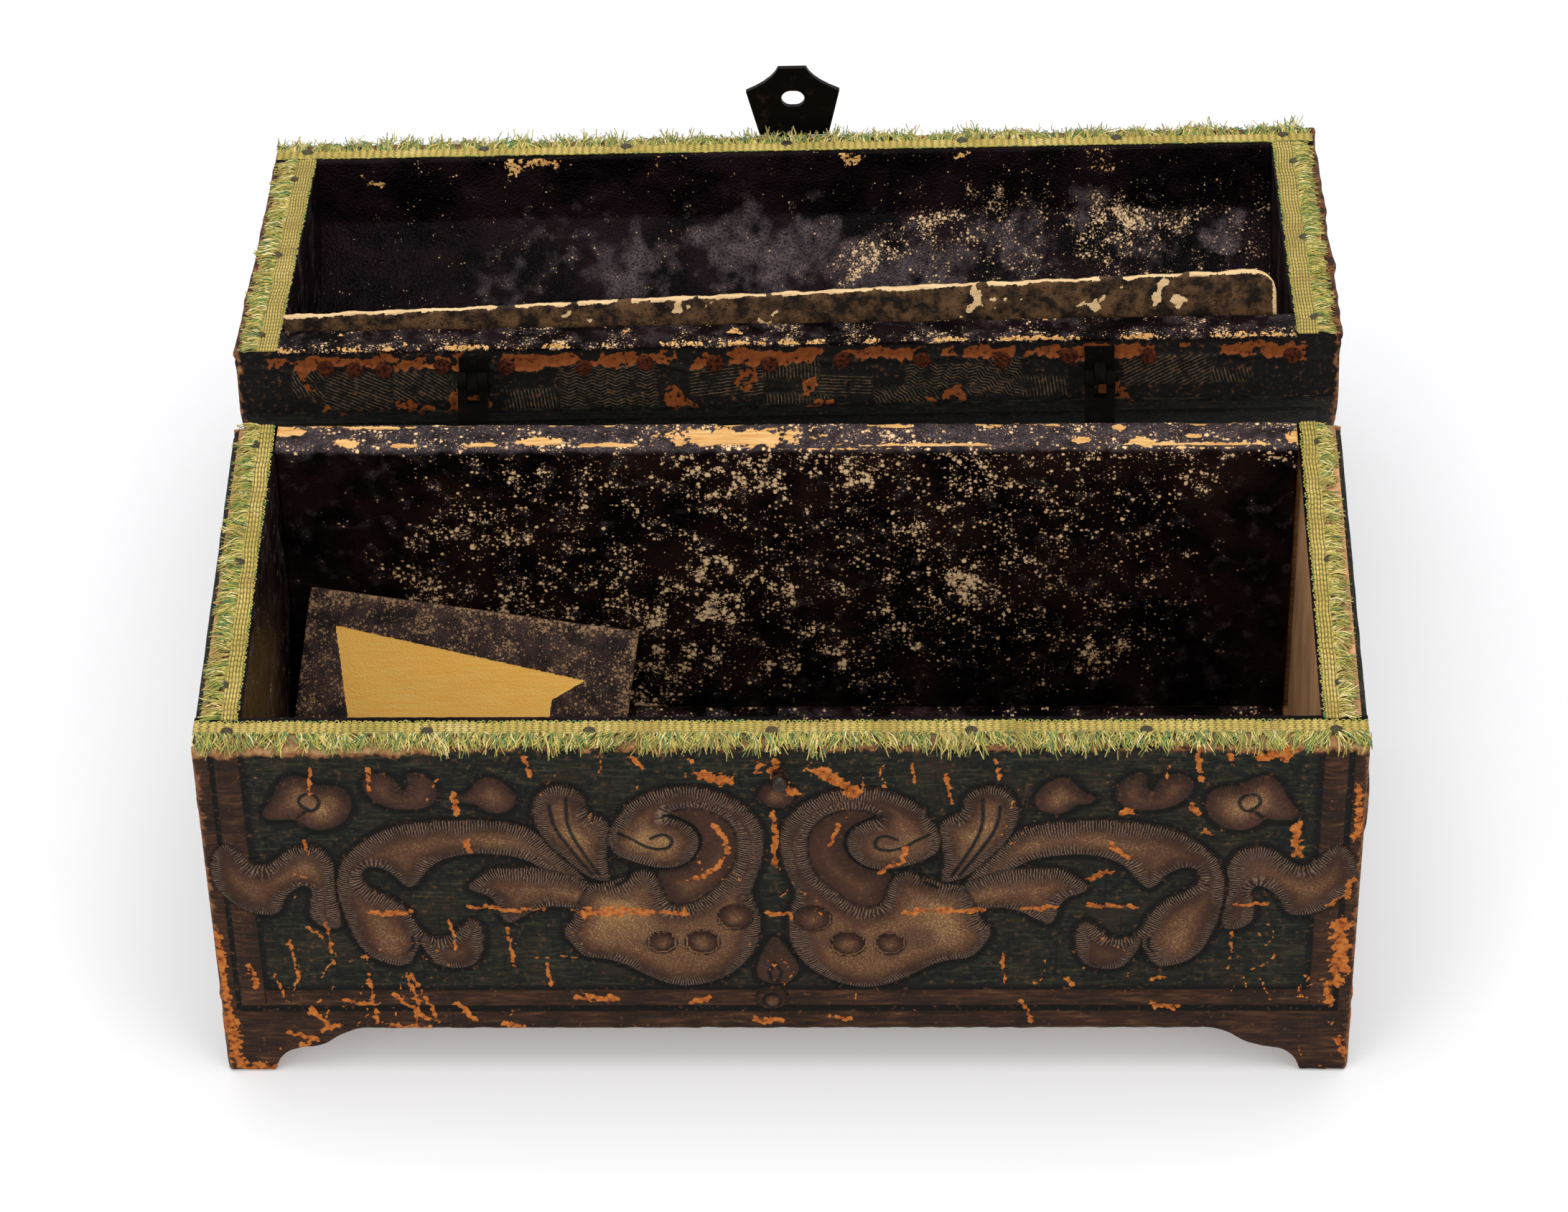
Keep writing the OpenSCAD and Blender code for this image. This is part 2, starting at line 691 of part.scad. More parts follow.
module lid_long_board(y) {
  difference() {
    block(leather_t - half_w, half_w - leather_t, y, y + board_t, lid_z, lid_z + lid_wall_h);
    at_corner_nails(lid_nail_heights) board_nail_hole();
    at_lid_braid_nails() nail_hole();
  }
}

module lid_front_board() {
  on_lid() color(WOOD) difference() {
    lid_long_board(leather_t - half_d);
    at_hasp_leaf_nails() nail_hole();
  }
}

module lid_back_board() {
  on_lid() color(WOOD) difference() {
    lid_long_board(in_d);
    at_back_nails() nail_hole();
    at_lid_hinge_nails() nail_hole();
  }
}

module lid_end_board(x) {
  on_lid() color(WOOD) difference() {
    lid_section(x, board_t) lid_hollow(0);
    at_corner_nails(lid_nail_heights) board_nail_hole();
    at_dome_nails() board_nail_hole();
    at_lid_braid_nails() nail_hole();
  }
}

module lid_left_board() { lid_end_board(leather_t - half_w); }
module lid_right_board() { lid_end_board(in_w); }

module lid_dome_board() {
  on_lid() color(WOOD) difference() {
    lid_section(leather_t - half_w, body_w - 2 * leather_t) difference() {
      lid_outline(leather_t);
      translate([-half_d, -cut]) square([body_d, lid_wall_h + cut]);
      lid_hollow(0);
    }
    at_dome_nails() board_nail_hole();
  }
}

module lid_dome_leather() {
  on_lid() color(LEATHER) difference() {
    lid_section(leather_t - half_w, body_w - 2 * leather_t) difference() {
      lid_outline(0);
      translate([0, -cut]) lid_outline(leather_t);
      lid_outline(leather_t);
    }
    at_back_nails() nail_hole();
    at_lid_hinge_nails() nail_hole();
    at_hasp_leaf_nails() nail_hole();
  }
}

module lid_left_leather() { on_lid() color(LEATHER) lid_section(-half_w, leather_t) lid_outline(0); }
module lid_right_leather() {
  on_lid() color(LEATHER) lid_section(half_w - leather_t, leather_t) lid_outline(0);
}

// One sheet lines the front wall and the dome. The back wall's own lining has come loose
module lid_lining() {
  on_lid() color(LINING) lid_section(-in_w, 2 * in_w) difference() {
    lid_hollow(0);
    translate([0, -cut]) lid_hollow(lining_t);
    lid_hollow(lining_t);
    translate([0, -cut]) square([half_d, lid_wall_h + cut]);
  }
}

module lid_end_lining(x) {
  on_lid() color(LINING) lid_section(x, lining_t) intersection() {
    lid_hollow(lining_t);
    translate([-half_d, 0]) square([half_d + flap_y - seat_gap, lid_h]);
  }
}

module lid_left_lining() { lid_end_lining(-in_w); }
module lid_right_lining() { lid_end_lining(in_w - lining_t - seat_gap); }

module lid_rim_lining() {
  on_lid() color(LINING)
    block(-in_w + lining_t, in_w - lining_t, in_d, half_d, lid_z - rim_lining_t, lid_z);
}

// The loose lining of the back wall, turned so that its right end rises out of the lid
flap_y = in_d - lining_t - seat_gap - lining_t;   // it drops inside the base's back lining
flap_right = in_w - lining_t - 4;
flap_l = flap_right + in_w - lining_t - seat_gap;
flap_round = 5;

module lid_loose_lining() {
  on_lid() color("#6b5a45") translate([flap_right, 0, lid_z - flap_rise])
    stand_across(flap_y, lining_t) rotate(-flap_turn) union() {
      translate([-flap_l, 0]) square([flap_l - flap_round, lid_wall_h]);
      translate([-flap_round - cut, flap_round]) square([flap_round + cut, lid_wall_h - flap_round]);
      translate([-flap_round, flap_round]) circle(r = flap_round);
    }
}

module lid_back_nails() { on_lid() color(RUST) at_back_nails() nail(back_nail_r, back_head_proud); }

module lid_board_nails() {
  on_lid() color(IRON) {
    at_corner_nails(lid_nail_heights) board_nail();
    at_dome_nails() board_nail();
  }
}

// Hasp leaf on the lid's front, with the outer knuckles

module at_hasp_leaf_nails() {
  for (x = [-1, 1], z = [hasp_knuckle_r + 1.2, 6.6])
    translate([x * (hasp_leaf_w / 2 - 2), -half_d - hasp_leaf_t, hasp_z + z]) rotate([90, 0, 0]) children();
}

module on_hasp_pivot() { translate([0, hasp_y, hasp_z]) children(); }

module hasp_leaf() {
  on_lid() color(IRON) difference() {
    union() {
      block(-hasp_leaf_w / 2, hasp_leaf_w / 2, -half_d - hasp_leaf_t, -half_d,
            hasp_z - hasp_knuckle_r, hasp_z - hasp_knuckle_r + hasp_leaf_h);
      on_hasp_pivot() for (x = [-hasp_leaf_w / 2, hasp_knuckle_half + knuckle_gap]) {
        rod(hasp_knuckle_r, x, x + hasp_leaf_w / 2 - hasp_knuckle_half - knuckle_gap);
        block(x, x + hasp_leaf_w / 2 - hasp_knuckle_half - knuckle_gap, 0, hasp_out - hasp_leaf_t / 2,
              0, hasp_knuckle_r);
      }
    }
    on_hasp_pivot() rod(hasp_pin_r + bore_play, -hasp_leaf_w, hasp_leaf_w);
    at_hasp_leaf_nails() nail_hole();
  }
}

module hasp_pin() {
  on_lid() color(IRON) on_hasp_pivot() rod(hasp_pin_r, -hasp_leaf_w / 2, hasp_leaf_w / 2);
}

module hasp_leaf_nails() { on_lid() color(IRON) at_hasp_leaf_nails() nail(hasp_nail_r, head_proud); }

// The hasp: a plate with pointed shoulders and a narrow tip, hung on the middle knuckle

function curve(a, b, c, t) = (1 - t) * (1 - t) * a + 2 * t * (1 - t) * b + t * t * c;

// Right half of the plate's outline, from the pivot down
function hasp_edge() = concat(
  [[hasp_knuckle_half, 0], [hasp_knuckle_half, -hasp_shoulder], [hasp_neck_w / 2, -hasp_shoulder]],
  [for (t = [0:0.2:1]) curve([hasp_w / 2, -hasp_point_l], [0.43 * hasp_w / 2, -hasp_point_l - 2.8],
                             [hasp_tip_w / 2, -hasp_l], t)]);

module hasp_plate() {
  edge = hasp_edge();
  difference() {
    polygon(concat(edge, [for (i = [len(edge) - 1:-1:0]) [-edge[i][0], edge[i][1]]]));
    for (x = [-hasp_hole_long / 2, hasp_hole_long / 2])
      translate([x, -hasp_hole_l]) circle(r = hasp_hole_r);
    translate([-hasp_hole_long / 2, -hasp_hole_l - hasp_hole_r]) square([hasp_hole_long, 2 * hasp_hole_r]);
  }
}

module hasp() {
  on_lid() color(IRON) on_hasp_pivot() rotate([hasp_lean, 0, 0]) difference() {
    union() {
      stand_across(-hasp_t / 2, hasp_t) hasp_plate();
      rod(hasp_knuckle_r, -hasp_knuckle_half, hasp_knuckle_half);
    }
    rod(hasp_pin_r + bore_play, -hasp_leaf_w, hasp_leaf_w);
  }
}

base_front_board();
base_back_board();
base_left_board();
base_right_board();
base_floor_board();
base_front_leather();
base_back_leather();
base_left_leather();
base_right_leather();
base_front_lining();
base_back_lining();
base_left_lining();
base_floor_lining();
loose_lining_board();
base_front_trim();
base_left_trim();
base_right_trim();
base_trim_nails();
base_board_nails();
lock_stud();
left_hinge_base_leaf();
right_hinge_base_leaf();
left_hinge_pin();
right_hinge_pin();
base_hinge_nails();
lid_front_board();
lid_back_board();
lid_left_board();
lid_right_board();
lid_dome_board();
lid_dome_leather();
lid_left_leather();
lid_right_leather();
lid_lining();
lid_left_lining();
lid_right_lining();
lid_rim_lining();
lid_loose_lining();
lid_front_trim();
lid_left_trim();
lid_right_trim();
lid_trim_nails();
lid_back_nails();
lid_board_nails();
left_hinge_lid_leaf();
right_hinge_lid_leaf();
lid_hinge_nails();
hasp_leaf();
hasp_pin();
hasp_leaf_nails();
hasp();
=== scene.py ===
import math
from functools import partial

import bmesh
import bpy
import numpy as np
from mathutils import Matrix, Vector


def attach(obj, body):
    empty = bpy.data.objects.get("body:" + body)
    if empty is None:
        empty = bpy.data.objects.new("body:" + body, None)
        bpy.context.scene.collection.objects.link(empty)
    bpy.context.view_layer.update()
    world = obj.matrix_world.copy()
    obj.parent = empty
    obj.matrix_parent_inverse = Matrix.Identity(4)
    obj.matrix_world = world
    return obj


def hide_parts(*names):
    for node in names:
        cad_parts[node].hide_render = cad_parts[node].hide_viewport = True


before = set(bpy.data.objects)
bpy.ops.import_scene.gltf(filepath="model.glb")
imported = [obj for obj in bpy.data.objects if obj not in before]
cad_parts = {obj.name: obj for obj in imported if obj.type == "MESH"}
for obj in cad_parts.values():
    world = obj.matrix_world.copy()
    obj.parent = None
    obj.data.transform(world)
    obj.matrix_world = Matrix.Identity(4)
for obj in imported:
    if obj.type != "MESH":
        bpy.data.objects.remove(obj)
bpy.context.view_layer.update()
print("frame loaded:", len(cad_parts), "nodes")

# Lengths are in mm, x to the right, y to the back, z up. Pieces are shaped round the casket's
# middle, with the lid shut, and basePlace or lidPlace carries them to where they are in the frame.
casket = {
    "halfWidth": 120, "halfDepth": 51, "baseHeight": 95.3, "leather": 1.2, "lining": 1.0,
    "inHalfWidth": 111.5, "inHalfDepth": 42.5, "wall": 9.5, "holdFloor": 20.3,
    "lidRim": 97.1, "lidWall": 15, "domeRadius": 58.654, "domeDrop": 28.654,
    "domeInRadius": 51.26, "hingeY": 56.25, "hingeZ": 103.4, "hingeRoll": 0.48, "lidOpen": 191.3,
}
mm = 0.001
shrink = Matrix.Scale(mm, 4)
basePlace = Matrix.Translation((0, -casket["hingeY"] * mm, 0)) @ shrink
lidTurn = (Matrix.Rotation(math.radians(-casket["hingeRoll"]), 4, "Y")
           @ Matrix.Rotation(math.radians(-casket["lidOpen"]), 4, "X")
           @ Matrix.Rotation(math.radians(casket["hingeRoll"]), 4, "Y"))
lidPlace = (Matrix.Translation((0, 0, casket["hingeZ"] * mm)) @ lidTurn
            @ Matrix.Translation((0, -casket["hingeY"] * mm, -casket["hingeZ"] * mm)) @ shrink)

# Camera, light and floor

view = {"lens": 127.0, "place": (0.0255, -0.92104, 0.87148), "pitch": 42.15, "yaw": 1.68, "roll": 1.27}


def colour(code):  # sRGB hex to the linear values that Blender's sockets take
    parts = [int(code[i:i + 2], 16) / 255 for i in (1, 3, 5)]
    return (*[p / 12.92 if p <= 0.04045 else ((p + 0.055) / 1.055) ** 2.4 for p in parts], 1.0)


def fill(tree, node, inputs):  # inputs by name or place: a socket is linked, a value is set
    for key, value in inputs.items():
        if isinstance(value, bpy.types.NodeSocket):
            tree.links.new(value, node.inputs[key])
        else:
            node.inputs[key].default_value = colour(value) if isinstance(value, str) else value


def addNode(tree, kind, inputs=(), ramp=None, out=0, **settings):
    # one node, set and linked. Its operation may follow its kind, inputs go by place or by name, and
    # a Mix is one of colours. Gives the named output, or the node itself when out is None
    kind, _, operation = kind.partition(" ")
    node = tree.nodes.new("ShaderNode" + kind)
    if operation:
        node.operation = operation
    if kind == "Mix":
        node.data_type, out, places = "RGBA", 2, (0, 6, 7)
    else:
        places = range(len(inputs))
    for key, value in settings.items():
        setattr(node, key, value)
    fill(tree, node, inputs if isinstance(inputs, dict) else dict(zip(places, inputs)))
    if ramp:
        while len(node.color_ramp.elements) < len(ramp):
            node.color_ramp.elements.new(1.0)
        for element, (place, code) in zip(node.color_ramp.elements, ramp):
            element.position = place
            element.color = colour(code)
    return node if out is None else node.outputs[out]


def newMaterial(name):
    material = bpy.data.materials.new(name)
    material.use_nodes = True
    tree = material.node_tree
    return material, tree, tree.nodes["Principled BSDF"], partial(addNode, tree)


def attributeParts(add, name):  # the three values that setVectors put on a mesh
    vector = add("Attribute", attribute_name=name, out="Vector")
    return add("SeparateXYZ", [vector], out=None).outputs


def makeCamera():
    data = bpy.data.cameras.new("camera")
    data.lens = view["lens"]
    data.sensor_width = 36
    data.clip_start = 0.01
    data.clip_end = 20
    camera = bpy.data.objects.new("camera", data)
    bpy.context.scene.collection.objects.link(camera)
    turn = (Matrix.Rotation(math.radians(view["yaw"]), 4, "Z")
            @ Matrix.Rotation(math.radians(-view["pitch"]), 4, "X")
            @ Matrix.Rotation(math.radians(view["roll"]), 4, "Y"))
    camera.matrix_world = (Matrix.Translation(view["place"]) @ turn
                           @ Matrix.Rotation(math.radians(90), 4, "X"))
    bpy.context.scene.camera = camera


studio = {"sky": 0.62, "floor": "#e6e6e8", "lift": 0.2,
          "lamps": [("overhead", (0.0, -0.15, 1.5), (0, 0, 0.05), 1.1, 11.6),
                    ("frontLeft", (-1.1, -1.2, 0.9), (0, -0.05, 0.05), 0.9, 5.0),
                    ("frontRight", (1.2, -1.1, 0.9), (0, -0.05, 0.05), 0.9, 4.3)]}


def backgroundRays(tree):  # 1 for rays that show the backdrop itself
    rays = addNode(tree, "LightPath", out=None).outputs
    some = addNode(tree, "Math MAXIMUM", [rays["Is Camera Ray"], rays["Is Glossy Ray"]])
    return addNode(tree, "Math MAXIMUM", [some, rays["Is Transmission Ray"]])


def makeStudio():
    scene = bpy.context.scene
    scene.view_settings.view_transform = "Standard"
    world = bpy.data.worlds.new("studio")
    scene.world = world
    world.use_nodes = True
    tree = world.node_tree
    light = tree.nodes["Background"]
    fill(tree, light, {"Strength": studio["sky"], "Color": (1, 1, 1, 1)})
    plain = addNode(tree, "Background", {"Color": (1, 1, 1, 1), "Strength": 1.0})
    both = addNode(tree, "MixShader", [backgroundRays(tree), light.outputs[0], plain])
    fill(tree, tree.nodes["World Output"], {"Surface": both})
    for name, place, target, size, power in studio["lamps"]:
        lamp = bpy.data.lights.new(name, "AREA")
        lamp.size = size
        lamp.energy = power
        thing = bpy.data.objects.new(name, lamp)
        scene.collection.objects.link(thing)
        aim = (Vector(target) - Vector(place)).to_track_quat("-Z", "Y")
        thing.matrix_world = Matrix.Translation(place) @ aim.to_matrix().to_4x4()
    bm = bmesh.new()
    bmesh.ops.create_grid(bm, x_segments=8, y_segments=8, size=4.0)
    mesh = bpy.data.meshes.new("floor")
    bm.to_mesh(mesh)
    bm.free()
    floor = bpy.data.objects.new("floor", mesh)
    scene.collection.objects.link(floor)
    material, tree, shader, add = newMaterial("matt white paper sweep")
    tree.nodes.remove(shader)
    matt = add("BsdfDiffuse", {"Color": studio["floor"]})
    lift = add("Math MULTIPLY", [backgroundRays(tree), studio["lift"]])
    glow = add("Emission", {"Color": (1, 1, 1, 1), "Strength": lift})
    fill(tree, tree.nodes["Material Output"], {"Surface": add("AddShader", [matt, glow])})
    mesh.materials.append(material)


makeCamera()
makeStudio()
print("camera, light and floor")

# Materials


def carvedLeather(name):
    # Tooled calf, painted black in the ground and stained brown in the leaves: dull, with a polish
    # on the high parts, and its orange flesh where it is cracked or rubbed
    material, tree, shader, add = newMaterial(name)
    coords = add("TexCoord", out="Object")
    edge, run, line = attributeParts(add, "carve")
    tone, hatch, wear = attributeParts(add, "finish")
    comb, tan, black = attributeParts(add, "marks")
    fine = add("TexNoise", {"Vector": coords, "Scale": 3200.0, "Detail": 2.0})   # pores, 0.3 mm
    rough = add("TexNoise", {"Vector": coords, "Scale": 900.0, "Detail": 5.0})   # grain, 1.1 mm
    broad = add("TexNoise", {"Vector": coords, "Scale": 110.0, "Detail": 3.0})   # stains, 9 mm
    level = add("Mapping", {"Vector": coords, "Scale": (0.12, 0.12, 1.0)})
    brushed = add("TexNoise", {"Vector": level, "Scale": 1500.0, "Detail": 4.0})

    # the ground: brushed black paint over brown
    ground = add("ValToRGB", [rough], ramp=[(0.32, "#070807"), (0.5, "#12150f"), (0.7, "#24271b")])
    stain = add("MapRange", [broad, 0.48, 0.72, 0.0, 0.55])
    ground = add("Mix", [stain, ground, "#33251a"])
    brush = add("MapRange", [brushed, 0.52, 0.74, 0.0, 0.6])
    ground = add("Mix", [brush, ground, "#41432f"])
    nearEdge = add("Math MULTIPLY_ADD", [rough, 0.5, edge])
    ring = add("MapRange", [nearEdge, -1.7, -0.9, 0.0, 0.92])
    ground = add("Mix", [ring, ground, "#060605"])

    # the leaves: dark at their edges, gold and rubbed in the middle, with painted highlights as pale glints
    # on the gold
    deep = add("Math MULTIPLY_ADD", [rough, 2.6, edge])
    middle = add("MapRange", [deep, 1.4, 7.2])
    gilt = add("Math MULTIPLY", [middle, tone])
    body = add("ValToRGB", [gilt], ramp=[(0.0, "#22140d"), (0.25, "#3a2317"), (0.5, "#52331f"),
                                         (0.8, "#66432b"), (1.0, "#7e5833")])
    # painted highlight: pale gold glints on fine noise over the gilt middles
    shine = add("MapRange", [fine, 0.5, 0.68, 0.0, 0.9])
    leafed = add("MapRange", [gilt, 0.3, 1.0])
    shine = add("Math MULTIPLY", [shine, leafed])
    body = add("Mix", [shine, body, "#b99660"])
    redder = add("MapRange", [broad, 0.48, 0.62, 0.0, 0.6])
    body = add("Mix", [redder, body, "#43251b"])

    # a veining tool's strokes, 0.62 mm apart, square to the outline and 1 to 4 mm long, with painted shade
    # in the gaps between them
    sway = add("Math MULTIPLY_ADD", [rough, 0.9, run])
    turns = add("Math MULTIPLY", [sway, 2 * math.pi / 0.62])
    stroke = add("Math SINE", [turns])
    reach = add("Math MULTIPLY_ADD", [broad, 9.0, -2.6])
    reach = add("Math SUBTRACT", [reach, edge])
    near = add("MapRange", [reach, -1.2, 0.6])
    strokes = add("MapRange", [stroke, 0.1, 0.9])
    strokes = add("Math MULTIPLY", [strokes, hatch])
    strokes = add("Math MULTIPLY", [strokes, near])
    faint = add("MapRange", [rough, 0.35, 0.65, 0.3, 0.85])
    faint = add("Math MULTIPLY", [strokes, faint])
    # painted shade: the gaps between the raised strokes are darkened as grooves in shade
    gap = add("MapRange", [stroke, 0.1, -0.7])
    gap = add("Math MULTIPLY", [gap, hatch])
    gap = add("Math MULTIPLY", [gap, near])
    gap = add("Math MULTIPLY", [gap, 0.75])
    body = add("Mix", [gap, body, "#1c110c"])
    body = add("Mix", [faint, body, "#937c66"])
    cut = add("Math MULTIPLY", [stroke, hatch])
    furred = add("Math MULTIPLY_ADD", [cut, 0.4, edge])
    inside = add("MapRange", [furred, -0.12, 0.12])

    # the bars: the same hide, left plain, soiled and streaked
    bar = add("ValToRGB", [brushed], ramp=[(0.3, "#1f120b"), (0.52, "#3b2417"), (0.68, "#553823"),
                                           (0.8, "#83613f")])
    soot = add("MapRange", [broad, 0.42, 0.62, 0.0, 0.7])
    bar = add("Mix", [soot, bar, "#1c130d"])
    plain = add("MapRange", [tone, 0.32, 0.42])
    body = add("Mix", [plain, bar, body])
    surface = add("Mix", [inside, ground, body])
    # black ink lines drawn into the leaves, and painted shadow beside leaves that lie over others
    inkAndShadow = add("Math MULTIPLY_ADD", [rough, 0.25, line])
    inkAndShadow = add("MapRange", [inkAndShadow, 0.75, 0.35])
    surface = add("Mix", [inkAndShadow, surface, "#0b0806"])

    # the hinge side: black, with fine pale lines from a comb
    surface = add("Mix", [black, surface, add("ValToRGB", [rough],
                                              ramp=[(0.35, "#030202"), (0.62, "#0d0806")])])
    tooth = add("Math SINE", [add("Math MULTIPLY", [run, 2 * math.pi])])
    lines = add("MapRange", [tooth, 0.35, 0.95])
    lines = add("Math MULTIPLY", [lines, comb])
    broken = add("MapRange", [rough, 0.36, 0.62, 0.15, 1.0])
    lines = add("Math MULTIPLY", [lines, broken])
    surface = add("Mix", [lines, surface, "#75644b"])

    # edges worn to tan, then cracks and rubbed places where the orange flesh of the hide shows
    ragged = add("Math MULTIPLY_ADD", [rough, 1.9, tan])
    tanned = add("MapRange", [ragged, 1.1, 2.1])
    tanColour = add("ValToRGB", [tanned], ramp=[(0.0, "#3c2619"), (0.35, "#6b432a"), (0.7, "#96693f"),
                                                (1.0, "#b08a60")])
    shown = add("MapRange", [tanned, 0.0, 0.35])
    surface = add("Mix", [shown, surface, tanColour])
    grain = add("Math MULTIPLY_ADD", [rough, 1.7, -0.85])
    rubbed = add("Math ADD", [grain, wear])
    worn = add("MapRange", [rubbed, 0.42, 0.47])
    flesh = add("ValToRGB", [rough], ramp=[(0.36, "#7d3e18"), (0.5, "#ad5e24"), (0.66, "#c47733")])
    soiled = add("Math MULTIPLY", [black, 0.85])
    flesh = add("Mix", [soiled, flesh, "#5c2a0f"])
    surface = add("Mix", [worn, surface, flesh])
    polish = add("MapRange", [gilt, 0.1, 0.9, 0.74, 0.36])
    height = add("Math MULTIPLY_ADD", [rough, 0.7, faint])
    height = add("Math MULTIPLY_ADD", [fine, 0.3, height])
    height = add("Math MULTIPLY_ADD", [worn, -0.6, height])
    bump = add("Bump", {"Height": height, "Strength": 0.7, "Distance": 0.00028})
    fill(tree, shader, {"Base Color": surface, "Roughness": polish, "Specular IOR Level": 0.15,
                        "Normal": bump})
    return material


def fleckedLining(name, look):
    # Sheepskin dyed black: glossy on its pebbles, with bloom between them, and pale skin where
    # the dye has flaked off in crumbs of 0.3 to 1 mm
    material, tree, shader, add = newMaterial(name)
    coords = add("TexCoord", out="Object")
    flaked, dusty, scuffed = attributeParts(add, "lost")
    pebble = add("TexVoronoi", {"Vector": coords, "Scale": look["pebble"]}, feature="SMOOTH_F1")
    speck = add("TexNoise", {"Vector": coords, "Scale": look["crumb"], "Detail": 4.0, "Roughness": 0.58})
    clump = add("TexNoise", {"Vector": coords, "Scale": 260.0, "Detail": 3.0})
    broad = add("TexNoise", {"Vector": coords, "Scale": look["cloud"], "Detail": 5.0, "Roughness": 0.65})
    tone = add("MapRange", [broad, 0.42, 0.6])
    body = add("Mix", [tone, look["dark"], look["light"]])
    cloudy = add("Math MULTIPLY_ADD", [clump, 1.2, -0.6])
    cloudy = add("Math ADD", [cloudy, dusty])
    cloudy = add("MapRange", [cloudy, 0.3, 1.05, 0.0, 0.85])
    valley = add("MapRange", [pebble, 0.2, 0.5, 0.2, 1.0])
    dust = add("Math MULTIPLY", [cloudy, valley])
    body = add("Mix", [dust, body, look["dust"]])
    patchy = add("Math MULTIPLY_ADD", [clump, 1.3, -0.65])
    dense = add("Math ADD", [patchy, flaked])
    shove = add("TexNoise", {"Vector": coords, "Scale": 2200.0, "Detail": 2.0}, out="Color")
    shoved = add("VectorMath MULTIPLY_ADD", [shove, (0.0007, 0.0007, 0.0007), coords])
    flakes, pale = 0.0, 0.0
    for scale, share in ((look["crumb"], 0.0), (look["crumb"] * 2.3, 0.1)):   # large and small crumbs
        crumb = add("TexVoronoi", {"Vector": shoved, "Scale": scale}, out=None).outputs
        lot = add("SeparateXYZ", [crumb["Color"]])
        lot = add("Math ADD", [lot, share])
        chance = add("Math SUBTRACT", [dense, lot])
        size = add("MapRange", [chance, 0.0, 0.8, 0.12, 0.68])
        size = add("Math SUBTRACT", [size, crumb["Distance"]])
        some = add("MapRange", [size, -0.02, 0.04])
        there = add("MapRange", [chance, 0.0, 0.01])
        some = add("Math MULTIPLY", [some, there])
        flakes = add("Math MAXIMUM", [some, flakes])
        pale = add("Math MAXIMUM", [add("MapRange", [size, 0.0, 0.25]), pale])
    crumbs = add("Mix", [pale, look["flake"], look["flakePale"]])
    body = add("Mix", [flakes, body, crumbs])
    torn = add("Math MULTIPLY_ADD", [speck, 1.5, -0.75])
    torn = add("Math ADD", [torn, scuffed])
    bare = add("MapRange", [torn, 0.46, 0.5])
    along = add("Mapping", {"Vector": coords, "Scale": (0.08, 1.0, 1.0)})
    grain = add("TexNoise", {"Vector": along, "Scale": 1400.0, "Detail": 3.0})
    under = add("ValToRGB", [grain], ramp=[(0.3, look["bareDark"]), (0.7, look["bare"])])
    body = add("Mix", [bare, body, under])
    dull = add("Math MAXIMUM", [flakes, dust])
    dull = add("Math MAXIMUM", [dull, bare])
    rough = add("MapRange", [dull, 0.0, 1.0, look["gloss"], 0.85])
    height = add("Math MULTIPLY_ADD", [pebble, -1.0, add("Math MULTIPLY", [flakes, -0.5])])
    bump = add("Bump", {"Height": height, "Strength": look["relief"], "Distance": 0.00035})
    fill(tree, shader, {"Base Color": body, "Roughness": rough, "Specular IOR Level": look["shine"],
                        "Normal": bump})
    return material


def plainWood(name, dark, light, squeeze):
    # Softwood board, planed: long soft grain, 1 mm wide, dulled and browned by handling
    material, tree, shader, add = newMaterial(name)
    coords = add("TexCoord", out="Object")
    flow = add("Mapping", {"Vector": coords, "Scale": squeeze})
    grain = add("TexNoise", {"Vector": flow, "Scale": 900.0, "Detail": 4.0, "Distortion": 0.3})
    stain = add("TexNoise", {"Vector": coords, "Scale": 60.0, "Detail": 3.0})
    band = add("ValToRGB", [grain], ramp=[(0.3, dark), (0.68, light)])
    soil = add("MapRange", [stain, 0.4, 0.75, 0.0, 0.45])
    mixed = add("Mix", [soil, band, "#4a3220"])
    bump = add("Bump", {"Height": grain, "Strength": 0.4, "Distance": 0.0002})
    fill(tree, shader, {"Base Color": mixed, "Roughness": 0.75, "Normal": bump})
    return material


def oldIron(name, dark, rust, amount, gloss=0.5, metal=0.55):
    # Forged iron, blackened: a dull sheen where it is handled and rust in its pores
    material, tree, shader, add = newMaterial(name)
    coords = add("TexCoord", out="Object")
    pits = add("TexNoise", {"Vector": coords, "Scale": 1400.0, "Detail": 5.0})
    patch = add("TexNoise", {"Vector": coords, "Scale": 260.0, "Detail": 3.0})
    share = add("MapRange", [patch, 0.62 - amount, 0.74 - amount])
    rusty = add("ValToRGB", [pits], ramp=[(0.35, dark), (0.7, rust)])
    mixed = add("Mix", [share, dark, rusty])
    rough = add("MapRange", [share, 0.0, 1.0, gloss, 0.85])
    bump = add("Bump", {"Height": pits, "Strength": 0.6, "Distance": 0.0002})
    fill(tree, shader, {"Base Color": mixed, "Metallic": metal, "Roughness": rough,
                        "Specular IOR Level": 0.3 * (1 - gloss), "Normal": bump})
    return material


